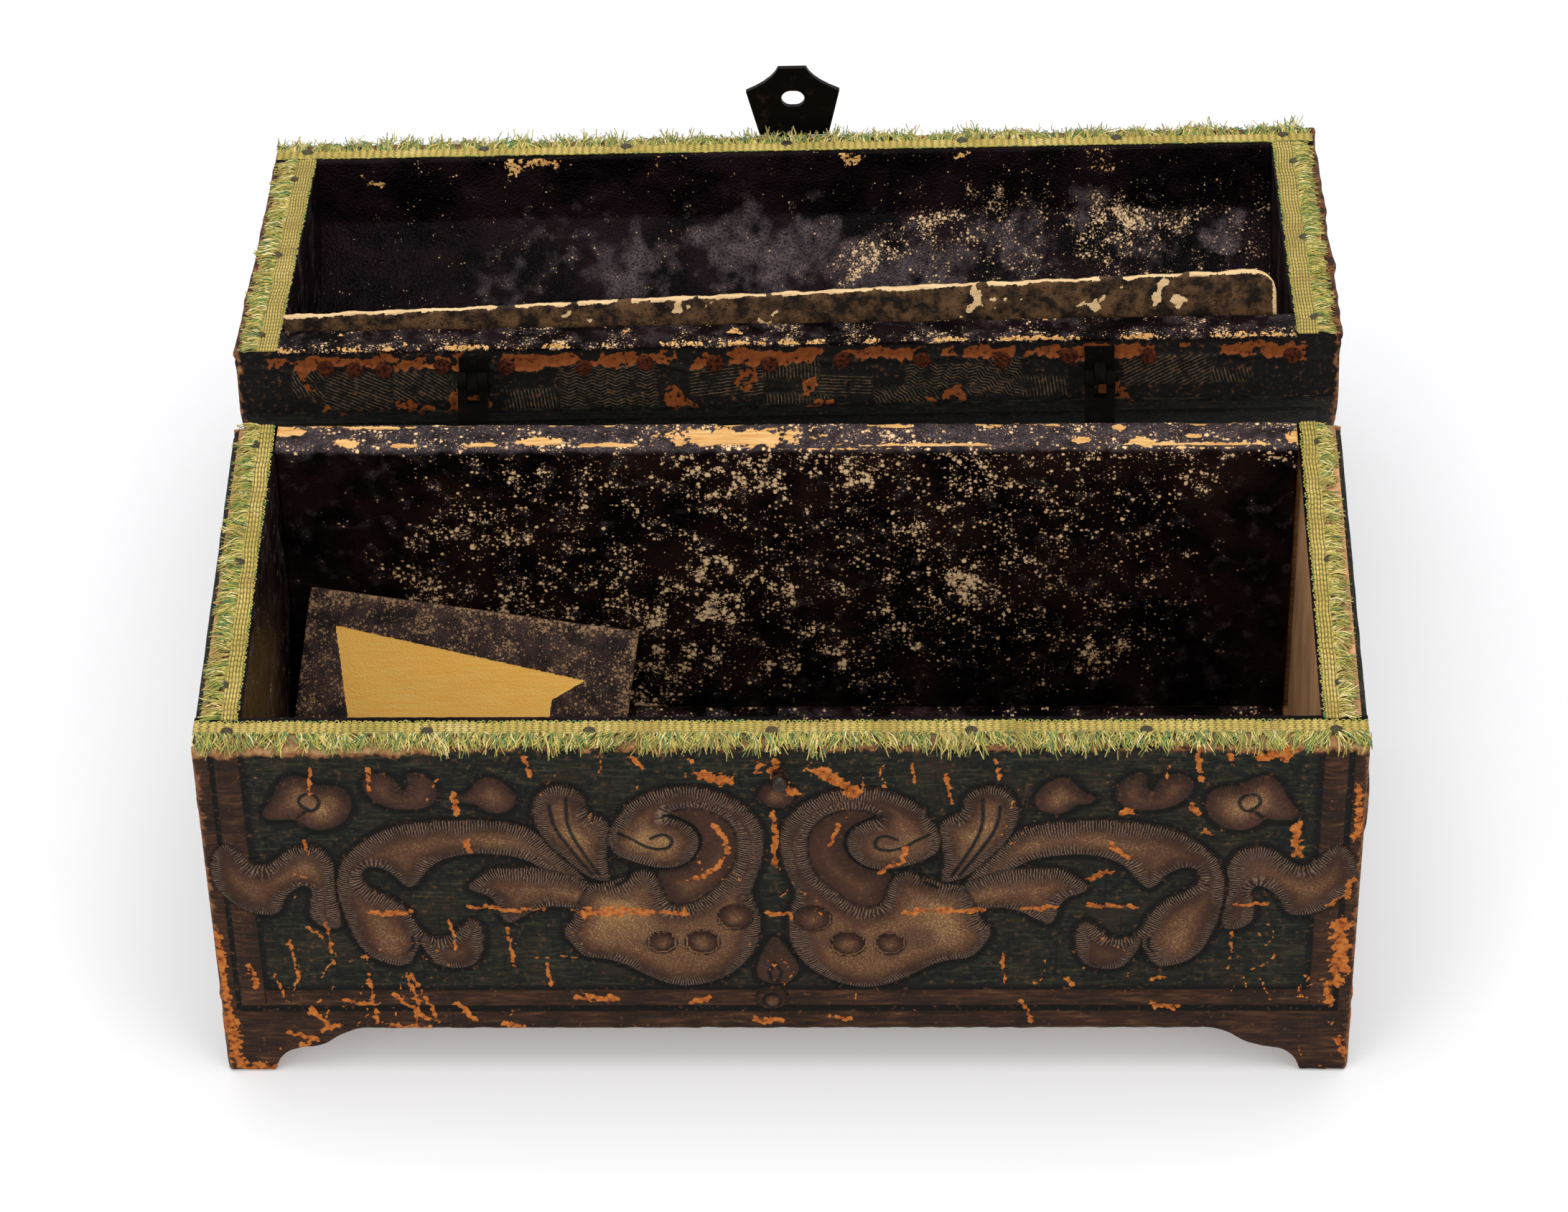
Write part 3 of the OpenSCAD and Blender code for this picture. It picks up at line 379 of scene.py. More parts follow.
def dyedThread(name, ramp, paintedShade, soiled):
    # Spun linen and silk, dyed green and faded to straw: soft sheen, with painted shade between its strands
    # and at the roots of the threads
    material, tree, shader, add = newMaterial(name)
    coords = add("TexCoord", out="Object")
    tint, depth, _ = attributeParts(add, "thread")
    dirt = add("TexNoise", {"Vector": coords, "Scale": 150.0, "Detail": 4.0})
    dye = add("ValToRGB", [tint], ramp=ramp)
    # painted shade: where depth is low, in the hollows of the weave and at thread roots, the shade colour
    # is mixed in
    deep = add("MapRange", [depth, 0.1, 0.85])
    mixed = add("Mix", [deep, paintedShade, dye])
    soil = add("MapRange", [dirt, 0.5, 0.72, 0.0, 0.5])
    mixed = add("Mix", [soil, mixed, soiled])
    fill(tree, shader, {"Base Color": mixed, "Roughness": 0.85, "Specular IOR Level": 0.3,
                        "Sheen Weight": 0.12})
    return material


liningLook = {"dark": "#060304", "light": "#1b1014", "dust": "#6a5d60", "flake": "#b48d69",
              "flakePale": "#eccb9f", "bare": "#f3c583", "bareDark": "#cf9350", "pebble": 2100.0,
              "crumb": 1350.0, "gloss": 0.4, "relief": 0.9, "shine": 0.035, "cloud": 60.0}
baseLook = dict(liningLook, crumb=900.0, relief=0.5, shine=0.06, light="#1f1311", flake="#bd9166",
                flakePale="#ffdcab")
boardLook = dict(liningLook, dark="#1c1313", light="#3e2c29", dust="#5c4a42", flake="#735540",
                 flakePale="#a98560", bare="#ffc968", bareDark="#ffbc55", pebble=2600.0, crumb=1500.0,
                 gloss=0.7, relief=0.3, shine=0.2, cloud=180.0)
flapLook = dict(boardLook, dark="#140c06", light="#65492f", dust="#2b2117", bare="#f6d3a0",
                bareDark="#dab380", flake="#1a110a", flakePale="#3a2a1a", crumb=1300.0, cloud=230.0)
materials = {
    "carved": carvedLeather("tooled black and brown calf"),
    "lining": fleckedLining("black dyed sheepskin lining", liningLook),
    "baseLining": fleckedLining("worn sheepskin lining", baseLook),
    "pasteboard": fleckedLining("stained pasteboard", boardLook),
    "flap": fleckedLining("torn lining board", flapLook),
    "wood": plainWood("old softwood", "#7d5634", "#ab7f50", (0.06, 1, 1)),
    # painted light: the end boards get a lighter copy of the softwood, standing in for light on end walls
    # that stand in shade
    "woodUprightLit": plainWood("old softwood ends", "#a8764e", "#deaa75", (1, 1, 0.06)),
    "iron": oldIron("blackened wrought iron", "#0f0c09", "#3a2416", 0.02),
    "nails": oldIron("dull iron tacks", "#454031", "#6a5c3e", 0.1, 0.42),
    "stud": oldIron("burnished brown iron", "#20140c", "#4a2c1a", 0.05, 0.2, 0.0),
    "hinges": oldIron("black painted hinges", "#070605", "#1b100a", 0.05, 0.85, 0.0),
    "rust": oldIron("rusted iron nails", "#21110b", "#643220", 0.4, 0.8),
    "braid": dyedThread("woven braid thread", [(0.0, "#9b9244"), (0.4, "#c4ad55"), (0.75, "#d8bd68"),
                                               (1.0, "#e5cf83")], "#5a5220", "#93773b"),
    "fringe": dyedThread("cut fringe thread", [(0.0, "#4c8a5e"), (0.18, "#80a04e"), (0.4, "#bfb553"),
                                               (0.62, "#d7c067"), (0.85, "#f4db92"), (1.0, "#ffefb9")],
                         "#545221", "#987c40"),
}
print("materials")


def dress(names, key):  # a better material on CAD nodes that keep their shape
    for name in names:
        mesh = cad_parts[name].data
        mesh.materials.clear()
        mesh.materials.append(materials[key])


everyNode = list(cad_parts)
dress([n for n in everyNode if n.endswith("_board")], "wood")
# the end boards take the lighter copy of the wood: painted light
dress(["base_left_board", "base_right_board", "lid_left_board", "lid_right_board"], "woodUprightLit")
dress([n for n in everyNode if n.endswith("_nails")], "nails")
dress(["lid_back_nails"], "rust")
dress([n for n in everyNode if n.endswith(("_leaf", "_pin"))] + ["hasp"], "iron")
dress([n for n in everyNode if "_hinge_" in n], "hinges")
dress(["lock_stud"], "stud")

# Sheets: leather, lining and braid are grids laid on a face or along a path


def finishPiece(name, mesh, place, body, key, node):
    mesh.transform(place)
    mesh.materials.append(materials[key])
    mesh.shade_smooth()
    piece = bpy.data.objects.new(name, mesh)
    bpy.context.scene.collection.objects.link(piece)
    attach(piece, body)
    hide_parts(node)


def addSheet(name, bm, lay, thickness, place, body, key, node, curved=False):
    finishPiece(name, layMesh(name, bm, lay, thickness, curved), place, body, key, node)


def setVectors(mesh, name, columns):
    values = np.stack(columns, 1).astype(np.float32)
    mesh.attributes.new(name, "FLOAT_VECTOR", "POINT").data.foreach_set("vector", values.ravel())


def softNoise(a, b, size, seed):  # smooth and seeded, about -1 to 1, in three layers
    draw = np.random.default_rng(seed)
    total = np.zeros(np.shape(a))
    for layer in range(3):
        for _ in range(5):
            angle, phase = draw.uniform(0, 2 * math.pi, 2)
            rate = 2 * math.pi / size * 2 ** layer * draw.uniform(0.7, 1.3)
            total += np.sin((a * math.cos(angle) + b * math.sin(angle)) * rate + phase) / 2 ** layer
    return total / (2.4 * (1 + 1 / 2 + 1 / 4))


def smooth(value, low, high):
    t = np.clip((value - low) / (high - low), 0, 1)
    return t * t * (3 - 2 * t)


def lineNoise(values, size, seed):  # the same noise along one direction alone
    return softNoise(values, values * 0, size, seed)


def roundOff(space, radius):  # how far a surface drops within a radius of its edge
    return radius - np.sqrt(np.clip(radius ** 2 - np.clip(radius - space, 0, radius) ** 2, 0, None))


def layGrid(halfWidth, length, cell, rows=None):  # u from -halfWidth to halfWidth, v from 0 to length
    bm = bmesh.new()
    bmesh.ops.create_grid(bm, x_segments=max(2, round(2 * halfWidth / cell)),
                          y_segments=rows or max(2, round(length / cell)), size=1.0)
    bmesh.ops.translate(bm, verts=bm.verts, vec=(0, 1, 0))
    bmesh.ops.scale(bm, verts=bm.verts, vec=(halfWidth, length / 2, 1))
    return bm


def layMesh(name, bm, lay, thickness, curved=False):
    # lay(u, v) gives points on the face, outward normals, heights over it and attributes. The
    # border is drawn back and filled, so the sheet is a closed solid; a curved one gets a back
    # of long strips that follow it
    border = [e for e in bm.edges if e.is_boundary]
    if curved:
        half = max(v.co.x for v in bm.verts) - 1e-3
        border = [e for e in border if all(abs(v.co.x) > half for v in e.verts)]
    drawn = bmesh.ops.extrude_edge_only(bm, edges=border)["geom"]
    bmesh.ops.translate(bm, verts=[g for g in drawn if isinstance(g, bmesh.types.BMVert)],
                        vec=(0, 0, -1))
    if curved:
        bmesh.ops.bridge_loops(bm, edges=[g for g in drawn if isinstance(g, bmesh.types.BMEdge)
                                          and all(v.co.z < -0.5 for v in g.verts)])
    bmesh.ops.holes_fill(bm, edges=[e for e in bm.edges if e.is_boundary], sides=0)
    bmesh.ops.recalc_face_normals(bm, faces=bm.faces)
    mesh = bpy.data.meshes.new(name)
    bm.to_mesh(mesh)
    bm.free()
    co = np.empty(len(mesh.vertices) * 3, np.float32)
    mesh.vertices.foreach_get("co", co)
    co = co.reshape(-1, 3).astype(float)
    points, normals, height, attributes = lay(co[:, 0], co[:, 1])
    height = np.where(co[:, 2] < -0.5, -thickness, np.maximum(height, 0.05 - thickness))
    mesh.vertices.foreach_set("co", (points + normals * height[:, None]).astype(np.float32).ravel())
    mesh.update()
    for key, columns in attributes.items():
        setVectors(mesh, key, columns)
    return mesh


def onPath(path, u, v):  # points and outward normals at arc lengths v along a path of (y, z)
    points = np.array(path, float)
    steps = np.hypot(*np.diff(points, axis=0).T)
    lengths = np.concatenate([[0], np.cumsum(steps)])

    def at(places):
        return np.stack([np.interp(places, lengths, points[:, i]) for i in (0, 1)], 1)
    spot, way = at(v), at(v + 0.3) - at(v - 0.3)
    way /= np.maximum(np.hypot(way[:, 0], way[:, 1]), 1e-9)[:, None]
    flat = np.zeros_like(u)
    return np.stack([u, spot[:, 0], spot[:, 1]], 1), np.stack([flat, -way[:, 1], way[:, 0]], 1)


def pathLength(path):
    return float(np.hypot(*np.diff(np.array(path, float), axis=0).T).sum())


def onFace(out, turn, u, v):  # an upright face at distance out, turned about the casket's middle
    c, s = math.cos(math.radians(turn)), math.sin(math.radians(turn))
    points = np.stack([c * u + s * out, s * u - c * out, v], 1)
    return points, np.tile([s, -c, 0.0], (len(u), 1))


# Carving

leafOutlines = {  # left half of the front, in mm from its middle and from the table
    "longStem": [-40, 55, -43, 61.5, -49, 70, -53, 73.5, -60, 75, -70, 75.2, -78, 74.3, -84, 71.5,
                 -89, 67, -92, 62, -93, 55, -92, 48, -90.5, 42, -88, 35.5, -83, 32.5, -79, 32.5,
                 -76.5, 39.5, -74, 41, -76.5, 43.5, -77.5, 47, -79, 50, -82, 53, -85.5, 55, -88, 58,
                 -87, 61.5, -84, 62, -81, 60, -79.3, 57, -77.5, 55.3, -75.6, 57.5, -73, 62, -69, 64.8,
                 -64, 65.8, -60, 65.5, -54, 64.5, -49.5, 61, -45, 57],
    "tailLeaf": [-76.5, 39, -75, 36, -73, 32, -69, 31.5, -65.5, 32.5, -63.5, 36, -62.8, 41,
                 -63.5, 45, -65.5, 46.5, -67.5, 44, -70, 41, -73, 40.5, -76, 42],
    "forkedLobe": [-40, 57, -47, 61, -53, 61.5, -60, 61.5, -64, 58, -66, 55, -60, 53, -58.5, 44.5,
                   -55, 46.5, -52, 49, -48, 50.3, -43, 49.5, -38, 52],
    "fanLobe": [-35.5, 57, -36.5, 62, -36.5, 66, -35, 72, -36.5, 76, -40, 77, -40.5, 83, -45, 85.5,
                -49, 84, -51, 80, -51, 75, -49, 69.5, -46, 65.5, -43, 61.5, -40, 58.5],
    "eye": [-26, 58.8, -25, 54, -22.5, 49.5, -17.5, 50.5, -13, 55, -9.5, 60, -8, 66, -8.6, 72, -11, 77,
            -15, 80, -21, 80, -25, 76, -18.8, 74.5, -16.3, 70, -17.5, 65, -20.5, 61.8, -25, 60.9],
    "volute": [-33.5, 76, -32, 79, -28, 82.5, -22, 84.7, -15, 84.5, -9, 81, -5, 76, -3.5, 71,
               -3.7, 66, -5, 60, -7, 54, -5.5, 50, -4.7, 45, -5.5, 38, -9, 32, -14, 28, -20, 26,
               -25, 27, -29, 29.5, -33, 32.5, -37, 34.5, -42, 35, -44, 38, -46.5, 43, -44, 46,
               -43, 49.5, -41, 56, -36.5, 57, -32.3, 58.5, -29, 61, -26, 58.8, -25, 55, -24, 51,
               -21.5, 50, -17.5, 51.5, -14, 55.5, -10.5, 60, -9, 65, -9, 71, -11, 75.5, -15, 78.5,
               -20, 79, -24, 77.2, -18.8, 74.5, -16.3, 70, -17.5, 65, -20.5, 61.8, -25, 60.9,
               -30, 62.5, -34, 64.7, -36, 68.5, -35.3, 72.5],
    "farLeaf": [-93, 62, -94.5, 66, -98, 68, -102, 67, -105, 63.5, -108, 61.5, -111, 64, -113, 67.5,
                -115.5, 68.7, -118, 66, -119.3, 60, -118, 55, -115, 51, -111, 48, -107, 47.5,
                -105, 49, -104, 53, -101, 56, -99, 56.5, -97.7, 54.5, -99, 51, -99, 46, -96, 43.5,
                -92.4, 43.5, -92.8, 50, -93.6, 56],
    "kidney": [-107, 77.5, -104.5, 81, -103, 85.5, -100.5, 88.3, -97, 87.5, -95, 85, -92, 85.3,
               -89, 84, -88, 80, -89, 76, -92, 73, -96, 72.2, -99, 74, -100, 76, -103, 75.3,
               -106, 75.5],
    "crescent": [-86, 85.5, -84, 88.5, -80, 88.3, -78.5, 86, -77.5, 83, -76, 85.5, -76.5, 88.5,
                 -74, 89, -71, 86.5, -70, 83, -71.5, 79.5, -75, 78.2, -80, 78.5, -84, 81],
    "bud": [-67, 82, -64, 83, -62, 86.5, -59.5, 88, -56, 85.5, -54, 82, -55, 78.5, -58, 77,
            -61, 77.8, -62.5, 80, -65, 80],
}
leafFinish = {  # tone 1 is gold in the middle, 0.2 a plain brown bar; height in mm
    "longStem": (0.56, 1.0, 0.7), "tailLeaf": (0.48, 1.0, 0.6), "forkedLobe": (0.5, 1.0, 0.7),
    "fanLobe": (0.5, 0.9, 0.7), "eye": (0.47, 0.1, 0.3), "volute": (0.56, 1.0, 0.8),
    "farLeaf": (0.5, 1.0, 0.65), "kidney": (0.85, 0.12, 0.5), "crescent": (0.8, 0.12, 0.5),
    "bud": (0.95, 0.12, 0.5),
}
bosses = [(-10, 47.5, 3.6), (-17, 40, 3.5), (-25.5, 40, 3.0)]
inkCurves = [  # black lines drawn into the leaves
    [-24, 77, -18.5, 74.5, -16.3, 70, -17.5, 65, -20.5, 61.8, -25, 60.9, -30, 62.5, -34, 64.7],
    [-27, 70.5, -24.5, 72, -22.5, 70.5, -22.8, 68, -25.5, 67.2, -28.5, 68.3, -31, 70.5, -33.5, 72],
    [-36, 65, -31, 62, -32, 58, -35, 56.5],
    [-99.5, 76.5, -98, 78.2, -95.8, 78.4, -94.6, 80.4, -95.2, 82.6, -97.4, 83.4, -99, 82, -98.8, 79.8,
     -97, 78.6],
    [-78, 41.5, -77.6, 39, -78.6, 37.6], [-44, 82, -44.2, 74, -41, 66, -38, 60],
    [-47.5, 80, -47, 74, -43.5, 67, -39.5, 60],
]


def pairs(numbers):
    return np.array(numbers, float).reshape(-1, 2)


def cutCorners(points, closed=True):  # rounds an outline off, as the knife does
    for _ in range(2):
        ahead = np.roll(points, -1, 0)
        cut = np.stack([points * 0.75 + ahead * 0.25, points * 0.25 + ahead * 0.75], 1).reshape(-1, 2)
        points = cut if closed else np.vstack([points[:1], cut[1:-3], points[-1:]])
    return points


def nearLine(u, v, line, closed):
    # distance to a line, arc length at its nearest point, and whether (u, v) is inside it
    ends = np.roll(line, -1, 0) if closed else line[1:]
    best = np.full(u.shape, 1e9)
    run, crossings, start = np.zeros(u.shape), np.zeros(u.shape, int), 0.0
    for a, b in zip(line, ends):
        w = b - a
        length = max(float(np.hypot(*w)), 1e-9)
        du, dv = u - a[0], v - a[1]
        t = np.clip((du * w[0] + dv * w[1]) / length ** 2, 0, 1)
        d = (du - t * w[0]) ** 2 + (dv - t * w[1]) ** 2
        closer = d < best
        best = np.where(closer, d, best)
        run = np.where(closer, start + t * length, run)
        if closed and abs(w[1]) > 1e-9:
            crossings += ((a[1] > v) != (b[1] > v)) & (u < w[0] * dv / w[1] + a[0])
        start += length
    return np.sqrt(best), run, crossings % 2 == 1


def circle(x, z, r):
    return [c for i in range(20) for c in (x + r * math.cos(2 * math.pi * i / 20),
                                           z + r * math.sin(2 * math.pi * i / 20))]


def box(x0, z0, x1, z1):
    return [x0, z0, x1, z0, x1, z1, x0, z1]


def makeShapes(design):  # every outline of a panel: (points, tone, hatch, height)
    shapes = [(pairs(points), tone, 0.0, high) for points, tone, high in design.get("bars", [])]
    inks = []
    scale, dz = design.get("scale", 1.0), design.get("dz", 0.0)
    for side in (1, -1):
        def put(numbers):
            points = pairs(numbers) + (2, 0)
            if side < 0:
                points = points * (-1.035, 1) - (0, 0.5)
            return (points - (2, 57)) * scale + (0, 57 + dz)
        for name in design.get("leaves", leafOutlines):
            tone, hatch, high = leafFinish[name]
            shapes.append((cutCorners(put(leafOutlines[name])), tone, hatch, high * scale ** 0.5))
        shapes += [(put(circle(x, z, r)), 1.25, 0.0, 1.1) for x, z, r in bosses]
        inks += [cutCorners(put(curve), False) for curve in inkCurves]
    shapes += [(cutCorners(pairs(points)), *finish) for points, *finish in design.get("more", [])]
    inks += [pairs(p) for p in design.get("inks", [])]
    return shapes, inks


def cracks(places):  # wandering, mostly upright cracks: width, strength and path
    draw, paths = np.random.default_rng(17), []
    for cu, cv, radius, count in places:
        for _ in range(count):
            x, z = cu + draw.normal(0, 0.5) * radius, cv + draw.normal(0, 0.5) * radius
            heading, path = draw.choice([0.0, 0.0, 0.0, 0.0, 0.0, 1.5]) + draw.normal(0, 0.2), [x, z]
            for _ in range(int(draw.integers(3, 10))):
                heading = 0.85 * (heading + draw.normal(0, 0.45))
                x, z = x + 1.5 * math.sin(heading), z - 1.5 * math.cos(heading)
                path += [x, z]
            paths.append((draw.uniform(0.26, 0.46), 0.54, *path))
            if draw.uniform() < 0.35:                  # a wider spot where the crack has flaked
                paths.append((draw.uniform(0.5, 0.8), 0.7, x, z))
    return paths


def within(u, v, points, margin):  # which places are in the points' box, or near it
    low, top = points.min(0) - margin, points.max(0) + margin
    return np.nonzero((u > low[0]) & (u < top[0]) & (v > low[1]) & (v < top[1]))[0]


def carve(u, v, design):
    edge = np.full(u.shape, -9.0)
    run, tone, hatch = np.zeros(u.shape), np.zeros(u.shape), np.zeros(u.shape)
    line, high = np.full(u.shape, 9.0), np.zeros(u.shape)
    shapes, inks = makeShapes(design)
    for points, shapeTone, shapeHatch, shapeHigh in shapes:
        near = within(u, v, points, 4)
        if not len(near):
            continue
        d, r, inside = nearLine(u[near], v[near], points, True)
        # painted shadow: beside the outline of a shape that lies over an earlier one, the lower shape gets
        # the dark line that the inked curves also use
        overlapShadow = ~inside & (edge[near] >= 0)
        line[near[overlapShadow]] = np.minimum(line[near[overlapShadow]], d[overlapShadow])
        beside = ~inside & (edge[near] < 0) & (-d > edge[near])
        edge[near[beside]], run[near[beside]] = -d[beside], r[beside]
        hatch[near[beside]] = shapeHatch
        inner = near[inside]
        edge[inner], run[inner], line[inner] = d[inside], r[inside], 9.0
        tone[inner], hatch[inner], high[inner] = shapeTone, shapeHatch, shapeHigh
    for points in inks:
        near = within(u, v, points, 2)
        if len(near):
            line[near] = np.minimum(line[near], nearLine(u[near], v[near], points, False)[0])
    crown = np.sqrt(np.clip(1 - (1 - np.clip(edge / 3.2, 0, 1)) ** 2, 0, 1))
    height = high * crown + 0.08 * softNoise(u, v, 9, 5)
    height -= 0.28 * np.exp(-((edge + 0.5) / 0.45) ** 2) + 0.3 * np.exp(-(line / 0.4) ** 2)
    height -= 0.04 * np.cos(run * 2 * math.pi / 1.2) * hatch * np.clip(1 - np.abs(edge - 1) / 2, 0, 1)
    for cu, cv, radius, strength in design.get("glow", []):  # gold is left only about these places
        gilding = strength * np.exp(-((u - cu) ** 2 + (v - cv) ** 2) / radius ** 2)
        tone = np.where(tone > 0.45, tone + gilding, tone)
    wear = np.zeros(u.shape)
    rubs = [(width, 0.85, *path) for width, *path in design.get("wear", [])]
    for width, strength, *path in rubs + cracks(design.get("crazed", [])):
        points = pairs(path if len(path) > 2 else path * 2)
        near = within(u, v, points, 2 * width + 1)
        if len(near):
            shift = softNoise(u[near], v[near], 5, 11) * width * 0.6
            d = nearLine(u[near] + shift, v[near] - shift, points, False)[0]
            wear[near] = np.maximum(wear[near], np.clip(strength - 0.5 * d / width, 0, 1))
    return {"carve": (edge, run, line), "finish": (tone, hatch, wear)}, height


foot = {"wide": 10.3, "arch": 7.5, "rise": 5.8, "level": 30, "gap": 0.3}


def footEdge(u, half):  # the lower edge of a footed face: foot, quarter arch, slope and level
    s = half - np.abs(u)
    t = 1 - np.clip((s - foot["wide"]) / foot["arch"], 0, 1)
    toe = foot["arch"] * np.sqrt(np.clip(1 - t ** 2, 0, 1))
    low = np.where(s < foot["wide"], foot["gap"], np.maximum(toe, foot["gap"]))
    low = low + foot["rise"] * smooth(s, foot["wide"] + foot["arch"], foot["level"])
    return low - foot["gap"] / 2 + 0.12 * lineNoise(u, 6, 3)


def panel(name, design, halfWidth, out, turn, cell, node):
    top = casket["baseHeight"] - 0.05
    bm = layGrid(halfWidth, top, cell)

    def lay(u, v):
        low = footEdge(u, halfWidth + design.get("corner", 0))
        z = low + v / top * (top - low)
        carved, height = carve(u, z, design)
        toTop, toSide = top - z, halfWidth - np.abs(u)
        for space, radius in ((toTop, 1.0), (toSide, 0.9), (z - low, 0.5)):
            height -= roundOff(space, radius)
        deep = design.get("rimWear", 0.9) + design.get("cornerWear", 0.0) * (
            smooth(-u, 50, 90) + 0.7 * smooth(u, 80, 105))
        tan = smooth(deep + 0.7 * softNoise(u, z, 9, 21) - toTop, -1.0, 1.2)
        tan = np.maximum(tan, 0.55 * smooth(0.8 + 0.8 * softNoise(u, z, 9, 22) - toSide, -0.8, 0.8))
        none = np.zeros(u.shape)
        return *onFace(out, turn, u, z), height, dict(carved, marks=(none, tan, none))
    addSheet(name, bm, lay, casket["leather"], basePlace, "base", "carved", node)


frontDesign = {
    "rimWear": 0.3, "cornerWear": 1.5,
    "glow": [(-38, 53, 12, 0.6), (-56, 69, 11, 0.4), (-27, 69, 6, 0.45), (-24, 33, 14, 0.05),
             (-99, 60, 8, 0.35), (-42, 72, 8, 0.35), (-10, 55, 8, 0.25), (-80, 36, 7, 0.3),
             (-96, 80, 7, 0.2), (39, 52, 12, 0.55), (58, 69, 12, 0.5), (27, 68, 6, 0.4),
             (24, 33, 14, 0.1), (102, 60, 8, 0.35), (43, 72, 8, 0.35), (82, 36, 7, 0.35),
             (98, 80, 7, 0.25)],
    "crazed": [(-92, 36, 14, 9), (-84, 22, 11, 8), (-100, 60, 12, 3), (-60, 18, 9, 3),
               (-34, 88, 14, 5), (-70, 86, 20, 3), (-48, 36, 12, 3), (-14, 66, 7, 3), (16, 88, 14, 5),
               (60, 86, 20, 3), (96, 40, 15, 6), (60, 32, 18, 4), (113, 30, 5, 4), (0, 60, 5, 3),
               (-2, 34, 5, 2), (-112, 8, 7, 2), (110, 8, 7, 3), (0, 16, 60, 3), (-40, 14, 40, 2)],
    "bars": [(box(-121, -1, 121, 18.3), 0.2, 0.25), (box(-121, 18.6, -116.8, 97), 0.15, 0.1),
             (box(117.2, 18.6, 121, 97), 0.15, 0.1), (box(-115.6, 20.2, 112.6, 24.8), 0.25, 0.35),
             (box(-115.6, 20.2, -110.6, 94.6), 0.22, 0.35), (box(111, 20.2, 115.8, 94.6), 0.22, 0.35)],
    "more": [([-2, 42, -4, 38, -6, 32, -5.5, 28, -2, 26.5, 2, 28, 3.5, 32, 0.5, 38], 0.5, 0.2, 0.7),
             (circle(-2.7, 22.5, 3.4), 1.0, 0.0, 1.1), (circle(-0.8, 82.3, 3.7), 1.15, 0.0, 0.5)],
    "inks": [[-2, 34, -3.2, 31, -2.6, 28, -1, 28, -0.6, 31, -2, 34], circle(-2.7, 22.5, 1.9),
             [-114.9, 19.4, 0, 19.5, 113, 19.4]],
    "wear": [
        (1.7, -118.6, 16, -118, 4), (1.5, -116.5, 1.6, -108, 1.2), (1.0, -107, 4, -102.6, 8.6),
        (0.8, -99, 13, -95, 14.5), (0.9, -84, 14, -76, 13.6), (0.8, -60, 14.6, -56, 14.2),
        (0.6, -101, 19, -97, 14), (0.5, -79, 30, -76, 22, -74, 15), (0.6, -83, 24, -80, 20, -76, 16),
        (1.9, 116.5, 45, 117.2, 36, 116.4, 28), (1.0, -1.6, 88, -0.6, 92), (0.8, -5, 89, -4, 91),
        (0.8, -86, 49, -78, 48.4), (0.6, -66, 50, -57, 49.6, -50, 49.4),
        (1.3, -42, 48.6, -36, 49.4, -29, 49.2), (0.7, -29, 49.2, -20, 48.8),
        (0.8, 25, 49, 33, 49.6, 42, 49), (0.7, 50, 50, 57, 50), (0.7, 64, 50, 73, 50),
        (0.5, 94, 50.8, 101, 50.4), (1.6, -17, 88, -11, 86.5), (1.7, 8, 89, 12, 86, 15, 83.5),
        (1.0, -1, 87, 3, 83), (0.9, -2.5, 48, 1, 47.6), (0.8, -1.5, 77, -1.2, 70, -1.8, 62),
        (0.7, -14, 74, -11.5, 70, -11, 66), (0.6, -20, 58, -15, 60, -12, 64), (0.6, 12, 74, 10, 68),
        (0.7, 20, 60, 25, 64, 26, 68), (0.5, -96, 90, -96.4, 83), (0.5, -84, 90, -84.4, 84),
        (0.7, -67, 83, -66.6, 77), (0.8, -65, 70, -64.6, 66), (0.5, -99, 70, -98, 66),
        (0.4, -70, 46, -69, 38), (0.4, -104, 40, -103, 28), (0.4, -96, 46, -95, 33),
        (0.4, -88, 30, -87, 15), (0.4, -80, 30, -78, 21, -79, 14), (0.5, -100, 44, -97, 41),
        (0.4, -108, 30, -106, 22), (1.3, -118, 7, -117, 1.5), (0.9, -119, 42, -118.6, 20, -119, 8),
        (0.7, -113, 33, -112, 26), (0.8, 72, 77.5, 70, 77), (0.9, 84, 79, 85.5, 77),
        (0.7, 87, 72, 89, 70.5), (1.0, 106, 74, 106.2, 70, 106.4, 65), (1.0, 64, 58, 68, 60),
        (0.8, 68, 68.5, 71.5, 65), (2.0, 116.5, 43, 117, 36, 116, 27), (1.0, 114.8, 26, 115, 20),
        (1.0, 118.2, 84, 118.8, 76, 118.6, 70), (0.8, 118, 58, 117.6, 54, 114, 50.6),
        (0.9, 118, 10, 119, 5), (1.6, 98, 93, 104, 94), (0.8, 92, 93, 92.4, 91), (0.6, 85, 95, 86, 86),
        (1.2, 79, 20, 82, 19.5), (0.5, 78, 28, 81, 29), (0.5, 59, 29, 61, 26), (0.4, 94, 42, 94, 34),
        (0.5, 34, 88, 35, 80), (0.4, 27, 91, 27.5, 86), (0.6, 44, 92, 45, 87), (0.6, -30, 93, -28, 90),
        (0.6, -52, 93, -51, 88), (0.4, -58, 44, -57, 32), (0.4, -50, 33, -49.6, 26),
        (0.4, 46, 36, 46.5, 27), (1.0, -44, 23, -36, 22.4), (0.8, -94, 22, -88, 21),
        (0.7, -70, 21, -66, 16), (0.6, 10, 17, 14, 16), (0.9, -6, 16, -1, 15.6), (0.6, 50, 22, 52, 16),
        (0.7, -20, 21, -16, 23), (0.8, -106, 12, -100, 10),
    ],
}
